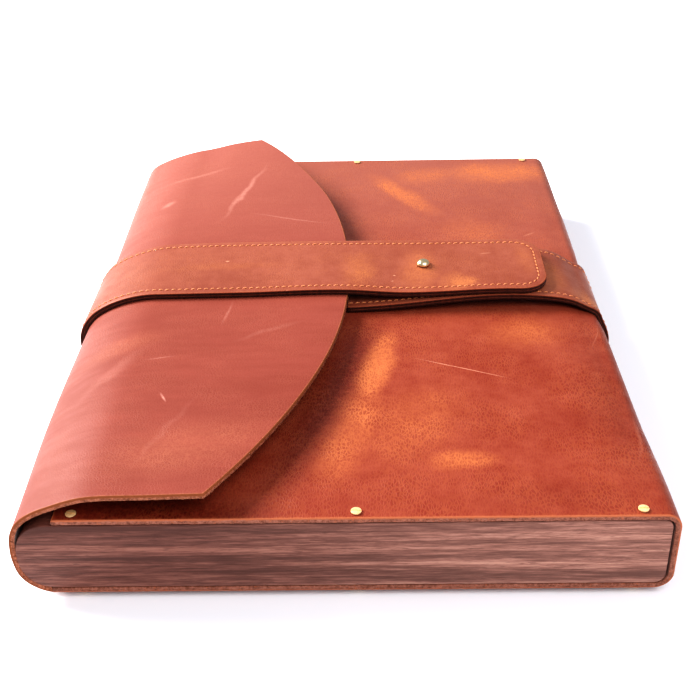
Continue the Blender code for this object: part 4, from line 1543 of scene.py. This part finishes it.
    def cut_button_hole(self, piece: bpy.types.Object) -> None:
        """Cuts the round hole that the stud's neck stands in, right through the ply."""
        low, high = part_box("stud_button")
        x, y = (low.x + high.x) / 2, (low.y + high.y) / 2
        sides = 40
        turn = np.arange(sides) * 2 * math.pi / sides
        ring = np.stack([x + self.hole_radius * np.cos(turn), y + self.hole_radius * np.sin(turn),
                         0 * turn], -1)
        points = np.concatenate([ring + (0, 0, PLAN.top), ring + (0, 0, high.z + 5 * MM)])
        i = np.arange(sides)
        faces = np.stack([i, np.roll(i, -1), np.roll(i, -1) + sides, i + sides], -1).tolist()
        faces += [i[::-1].tolist(), (i + sides).tolist()]
        cutter = new_piece("button_hole_cutter", points, faces, [])
        cut = piece.modifiers.new("button_hole", "BOOLEAN")
        cut.operation, cut.solver, cut.object = "DIFFERENCE", "EXACT", cutter
        shown = piece.evaluated_get(bpy.context.evaluated_depsgraph_get())
        mesh = bpy.data.meshes.new_from_object(shown)
        piece.modifiers.clear()
        piece.data = mesh
        bpy.data.objects.remove(cutter)

    def build(self, finishes: Finishes) -> None:
        """Builds the lower run and then the upper one."""
        self.build_belt(finishes)
        self.build_upper(finishes)


def lathe(profile: Array, x: float, y: float, sides: int) -> tuple[Array, list]:
    """A profile of (radius, z), foot to crown and both ends on the axis, turned about it.

    Args:
        profile: (n, 2) radius and height.
        x, y: where the axis stands.
        sides: segments round it.

    Returns:
        Points and faces, with one vertex at each end.
    """
    turn = np.arange(sides) * 2 * math.pi / sides
    radius, z = profile[1:-1, :1], profile[1:-1, 1:]
    rings = np.stack([x + radius * np.cos(turn), y + radius * np.sin(turn),
                      np.broadcast_to(z, (len(z), sides))], -1).reshape(-1, 3)
    points = np.concatenate([rings, [[x, y, profile[0, 1]], [x, y, profile[-1, 1]]]])
    number = np.arange(len(z) * sides).reshape(len(z), sides)
    a, b = number[:-1], number[1:]
    faces = np.stack([a, np.roll(a, -1, 1), np.roll(b, -1, 1), b], -1).reshape(-1, 4).tolist()
    foot, crown = len(rings), len(rings) + 1
    faces += [[foot, number[0, (j + 1) % sides], number[0, j]] for j in range(sides)]
    faces += [[crown, number[-1, j], number[-1, (j + 1) % sides]] for j in range(sides)]
    return points, [[int(v) for v in f] for f in faces]


@dataclass
class Screws:
    """Twelve slotted brass screws: a low dome with a slot, on a plain shank."""

    radius: float = 1.95 * MM
    rise: float = 0.6 * MM
    edge: float = 0.35 * MM
    slot_half: float = 0.2 * MM
    slot_depth: float = 0.35 * MM
    shank: float = 1.1 * MM
    length: float = 12.0 * MM

    def head(self) -> tuple[Array, list]:
        """The head about the origin, foot at 0: a dome over rows of chords, with the slot sunk
        in it, then the rim and the flat underside.

        Height is the edge plus the dome's (1 - (r/R)^2), less the slot where |y| is small.
        """
        angle = np.radians(np.array([-84, -72, -60, -48, -36, -25, -15]))
        wall = np.array([-self.slot_half * 1.12, -self.slot_half * 0.98])
        low = np.concatenate([self.radius * np.sin(angle), wall])
        y = np.concatenate([low, [0.0], -low[::-1]])
        share = np.sin(np.linspace(-np.pi / 2, np.pi / 2, 25))
        x = share[:, None] * np.sqrt(self.radius ** 2 - y ** 2)[None]
        y = np.broadcast_to(y, x.shape)
        dome = self.edge + (self.rise - self.edge) * (1 - (x ** 2 + y ** 2) / self.radius ** 2)
        sunk = np.abs(y) < self.slot_half
        top = np.stack([x, y, np.where(sunk, dome - self.slot_depth, dome)], -1)
        number = np.arange(x.size).reshape(x.shape)
        loop = np.concatenate([number[:-1, 0], number[-1, :-1], number[:0:-1, -1],
                               number[0, :0:-1]])
        rim = top.reshape(-1, 3)[loop] * (1, 1, 0)
        a, b, c, d = number[:-1, :-1], number[1:, :-1], number[1:, 1:], number[:-1, 1:]
        faces = np.stack([a, b, c, d], -1).reshape(-1, 4).tolist()
        under = x.size + np.arange(len(loop))
        faces += np.stack([loop, under, np.roll(under, -1), np.roll(loop, -1)], -1).tolist()
        faces.append(under[::-1].tolist())
        return np.concatenate([top.reshape(-1, 3), rim]), faces

    def build(self, finishes: Finishes) -> None:
        """Makes one screw in each screw's place, turned over for the underside."""
        head, head_faces = self.head()
        profile = np.array([[0, -self.length], [0.25 * self.shank, -0.97 * self.length],
                            [self.shank, -0.75 * self.length], [self.shank, 0], [0, 0]])
        shank, shank_faces = lathe(profile, 0.0, 0.0, 20)
        shank = shank - (0, 0, 0.02 * MM)
        faces = head_faces + [[v + len(head) for v in f] for f in shank_faces]
        points = np.concatenate([head, shank])
        nodes = sorted(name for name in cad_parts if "_screw_" in name)
        for node in nodes:
            low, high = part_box(node)
            above = "_top_" in node
            spread = (2.0 * (node.count("rear") + int(node[-1])) - 5.0) * 0.09
            turn = np.array(Matrix.Rotation(spread, 3, "Z"))
            flip = np.array([1, 1, 1] if above else [1, -1, -1])
            foot = high.z - self.rise if above else low.z + self.rise
            middle = ((low.x + high.x) / 2, (low.y + high.y) / 2, foot)
            screw = new_piece(f"brass_{node}", (points @ turn.T) * flip + middle, faces,
                              [finishes.screw], sharp=35)
            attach(screw, "case")
            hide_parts(node)
        LOG.info("screws: %d", len(nodes))


@dataclass
class Stud:
    """The button stud: a round head on a neck, and the flat screw behind it."""

    neck: float = 1.8 * MM
    bore: float = 1.1 * MM
    head_height: float = 3.4 * MM
    sunk: float = 0.5 * MM             # how far it is pulled into the strap
    above: float = 0.66                # share of the head that is above its widest circle
    bore_depth: float = 4.3 * MM

    def build(self, finishes: Finishes) -> None:
        """Turns the stud in the solid's place. The head is an oblate ball: its height over
        the widest circle is the sine, and its radius the cosine, of one angle."""
        low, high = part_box("stud_button")
        x, y = (low.x + high.x) / 2, (low.y + high.y) / 2
        radius = (high.x - low.x) / 2
        crown = high.z - self.sunk
        middle = crown - self.above * self.head_height
        angle = np.radians(np.linspace(-56, 88, 26))
        height = self.head_height * np.where(angle < 0, 1 - self.above, self.above)
        head = np.stack([radius * np.cos(angle), middle + height * np.sin(angle)], -1)
        inner_top = low.z + self.bore_depth
        profile = np.concatenate([
            [[0, inner_top], [self.bore, inner_top], [self.bore, low.z], [self.neck, low.z],
             [self.neck, head[0, 1] - 0.1 * MM]], head, [[0, crown]]])
        points, faces = lathe(profile, x, y, 64)
        stud = new_piece("round_headed_stud", points, faces, [finishes.stud], sharp=40)
        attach(stud, "case")
        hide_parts("stud_button")
        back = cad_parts["stud_base_screw"]
        back.data.materials.clear()
        back.data.materials.append(finishes.screw)
        LOG.info("stud: %d faces", len(faces))


# ---- the setting -------------------------------------------------------------------------
@dataclass(frozen=True)
class Lamp:
    """A soft square light that looks at the case."""

    name: str
    place: tuple[float, float, float]
    size: float
    power: float
    colour: Colour

    def build(self) -> None:
        """Hangs the light."""
        data = bpy.data.lights.new(self.name, "AREA")
        data.size, data.energy, data.color = self.size, self.power, self.colour
        light = bpy.data.objects.new(self.name, data)
        bpy.context.scene.collection.objects.link(light)
        light.location = self.place
        light.rotation_euler = (-Vector(self.place)).to_track_quat("-Z", "Y").to_euler()


@dataclass
class Setting:
    """A white table, a soft key from the left and behind, a weaker light from the front right,
    an even surround, and the camera."""

    eye: tuple[float, float, float] = (11.7 * MM, -474.0 * MM, 285.6 * MM)
    yaw: float = -0.98
    pitch: float = 30.8
    roll: float = -1.14
    lens: float = 56.57
    sensor: float = 36.0
    floor_half: float = 4.0
    floor: Colour = (0.95, 0.965, 0.995)
    surround: Colour = (0.87, 0.90, 1.0)
    surround_strength: float = 0.39
    lamps: tuple[Lamp, ...] = (
        Lamp("key", (-1.3, 0.6, 1.05), 0.9, 57.0, (1.0, 0.985, 0.96)),
        Lamp("front", (0.5, -0.9, 1.1), 1.0, 13.0, (1.0, 0.99, 0.98)))

    def build(self) -> None:
        """Makes the floor, the lights and the camera."""
        self.build_floor()
        for lamp in self.lamps:
            lamp.build()
        self.build_surround()
        self.build_camera()

    def build_floor(self) -> None:
        """The table top, a plain pale plane that isn't part of the object."""
        material, _, shader = new_material("pale_floor", 0.85, Specular_IOR_Level=0.1)
        shader.inputs["Base Color"].default_value = (*self.floor, 1.0)
        h = self.floor_half
        corners = np.array([[-h, -h, 0], [h, -h, 0], [h, h, 0], [-h, h, 0]])
        floor = new_piece("pale_floor", corners, [[0, 1, 2, 3]], [material])

    def build_surround(self) -> None:
        """The even pale light from all round, and the way that colours are shown."""
        world = bpy.data.worlds.new("pale_surround")
        world.use_nodes = True
        ground = world.node_tree.nodes["Background"]
        ground.inputs["Color"].default_value = (*self.surround, 1.0)
        ground.inputs["Strength"].default_value = self.surround_strength
        scene = bpy.context.scene
        scene.world = world
        scene.view_settings.view_transform = "Standard"
        scene.view_settings.look = "High Contrast"

    def build_camera(self) -> None:
        """The camera: its axes from yaw, downward pitch and roll."""
        yaw, pitch, roll = (math.radians(v) for v in (self.yaw, self.pitch, self.roll))
        forward = Vector((math.sin(yaw) * math.cos(pitch), math.cos(yaw) * math.cos(pitch),
                          -math.sin(pitch)))
        right = Vector((math.cos(yaw), -math.sin(yaw), 0.0))
        up = right.cross(forward)
        across = right * math.cos(roll) + up * math.sin(roll)
        upright = up * math.cos(roll) - right * math.sin(roll)
        data = bpy.data.cameras.new("camera")
        data.lens, data.sensor_width = self.lens, self.sensor
        camera = bpy.data.objects.new("camera", data)
        bpy.context.scene.collection.objects.link(camera)
        axes = Matrix((across, upright, -forward)).transposed()
        camera.matrix_world = Matrix.Translation(self.eye) @ axes.to_4x4()
        bpy.context.scene.camera = camera


def main() -> None:
    """Builds every sub-assembly in order, then the setting."""
    logging.basicConfig(level=logging.INFO, format="%(name)s: %(message)s")
    finishes = Finishes()
    for part in (WalnutBars(), LeatherWrap(), Flap(), Strap(), Screws(), Stud()):
        part.build(finishes)
        LOG.info("built %s", type(part).__name__)
    Setting().build()


if __name__ == "__main__":
    main()
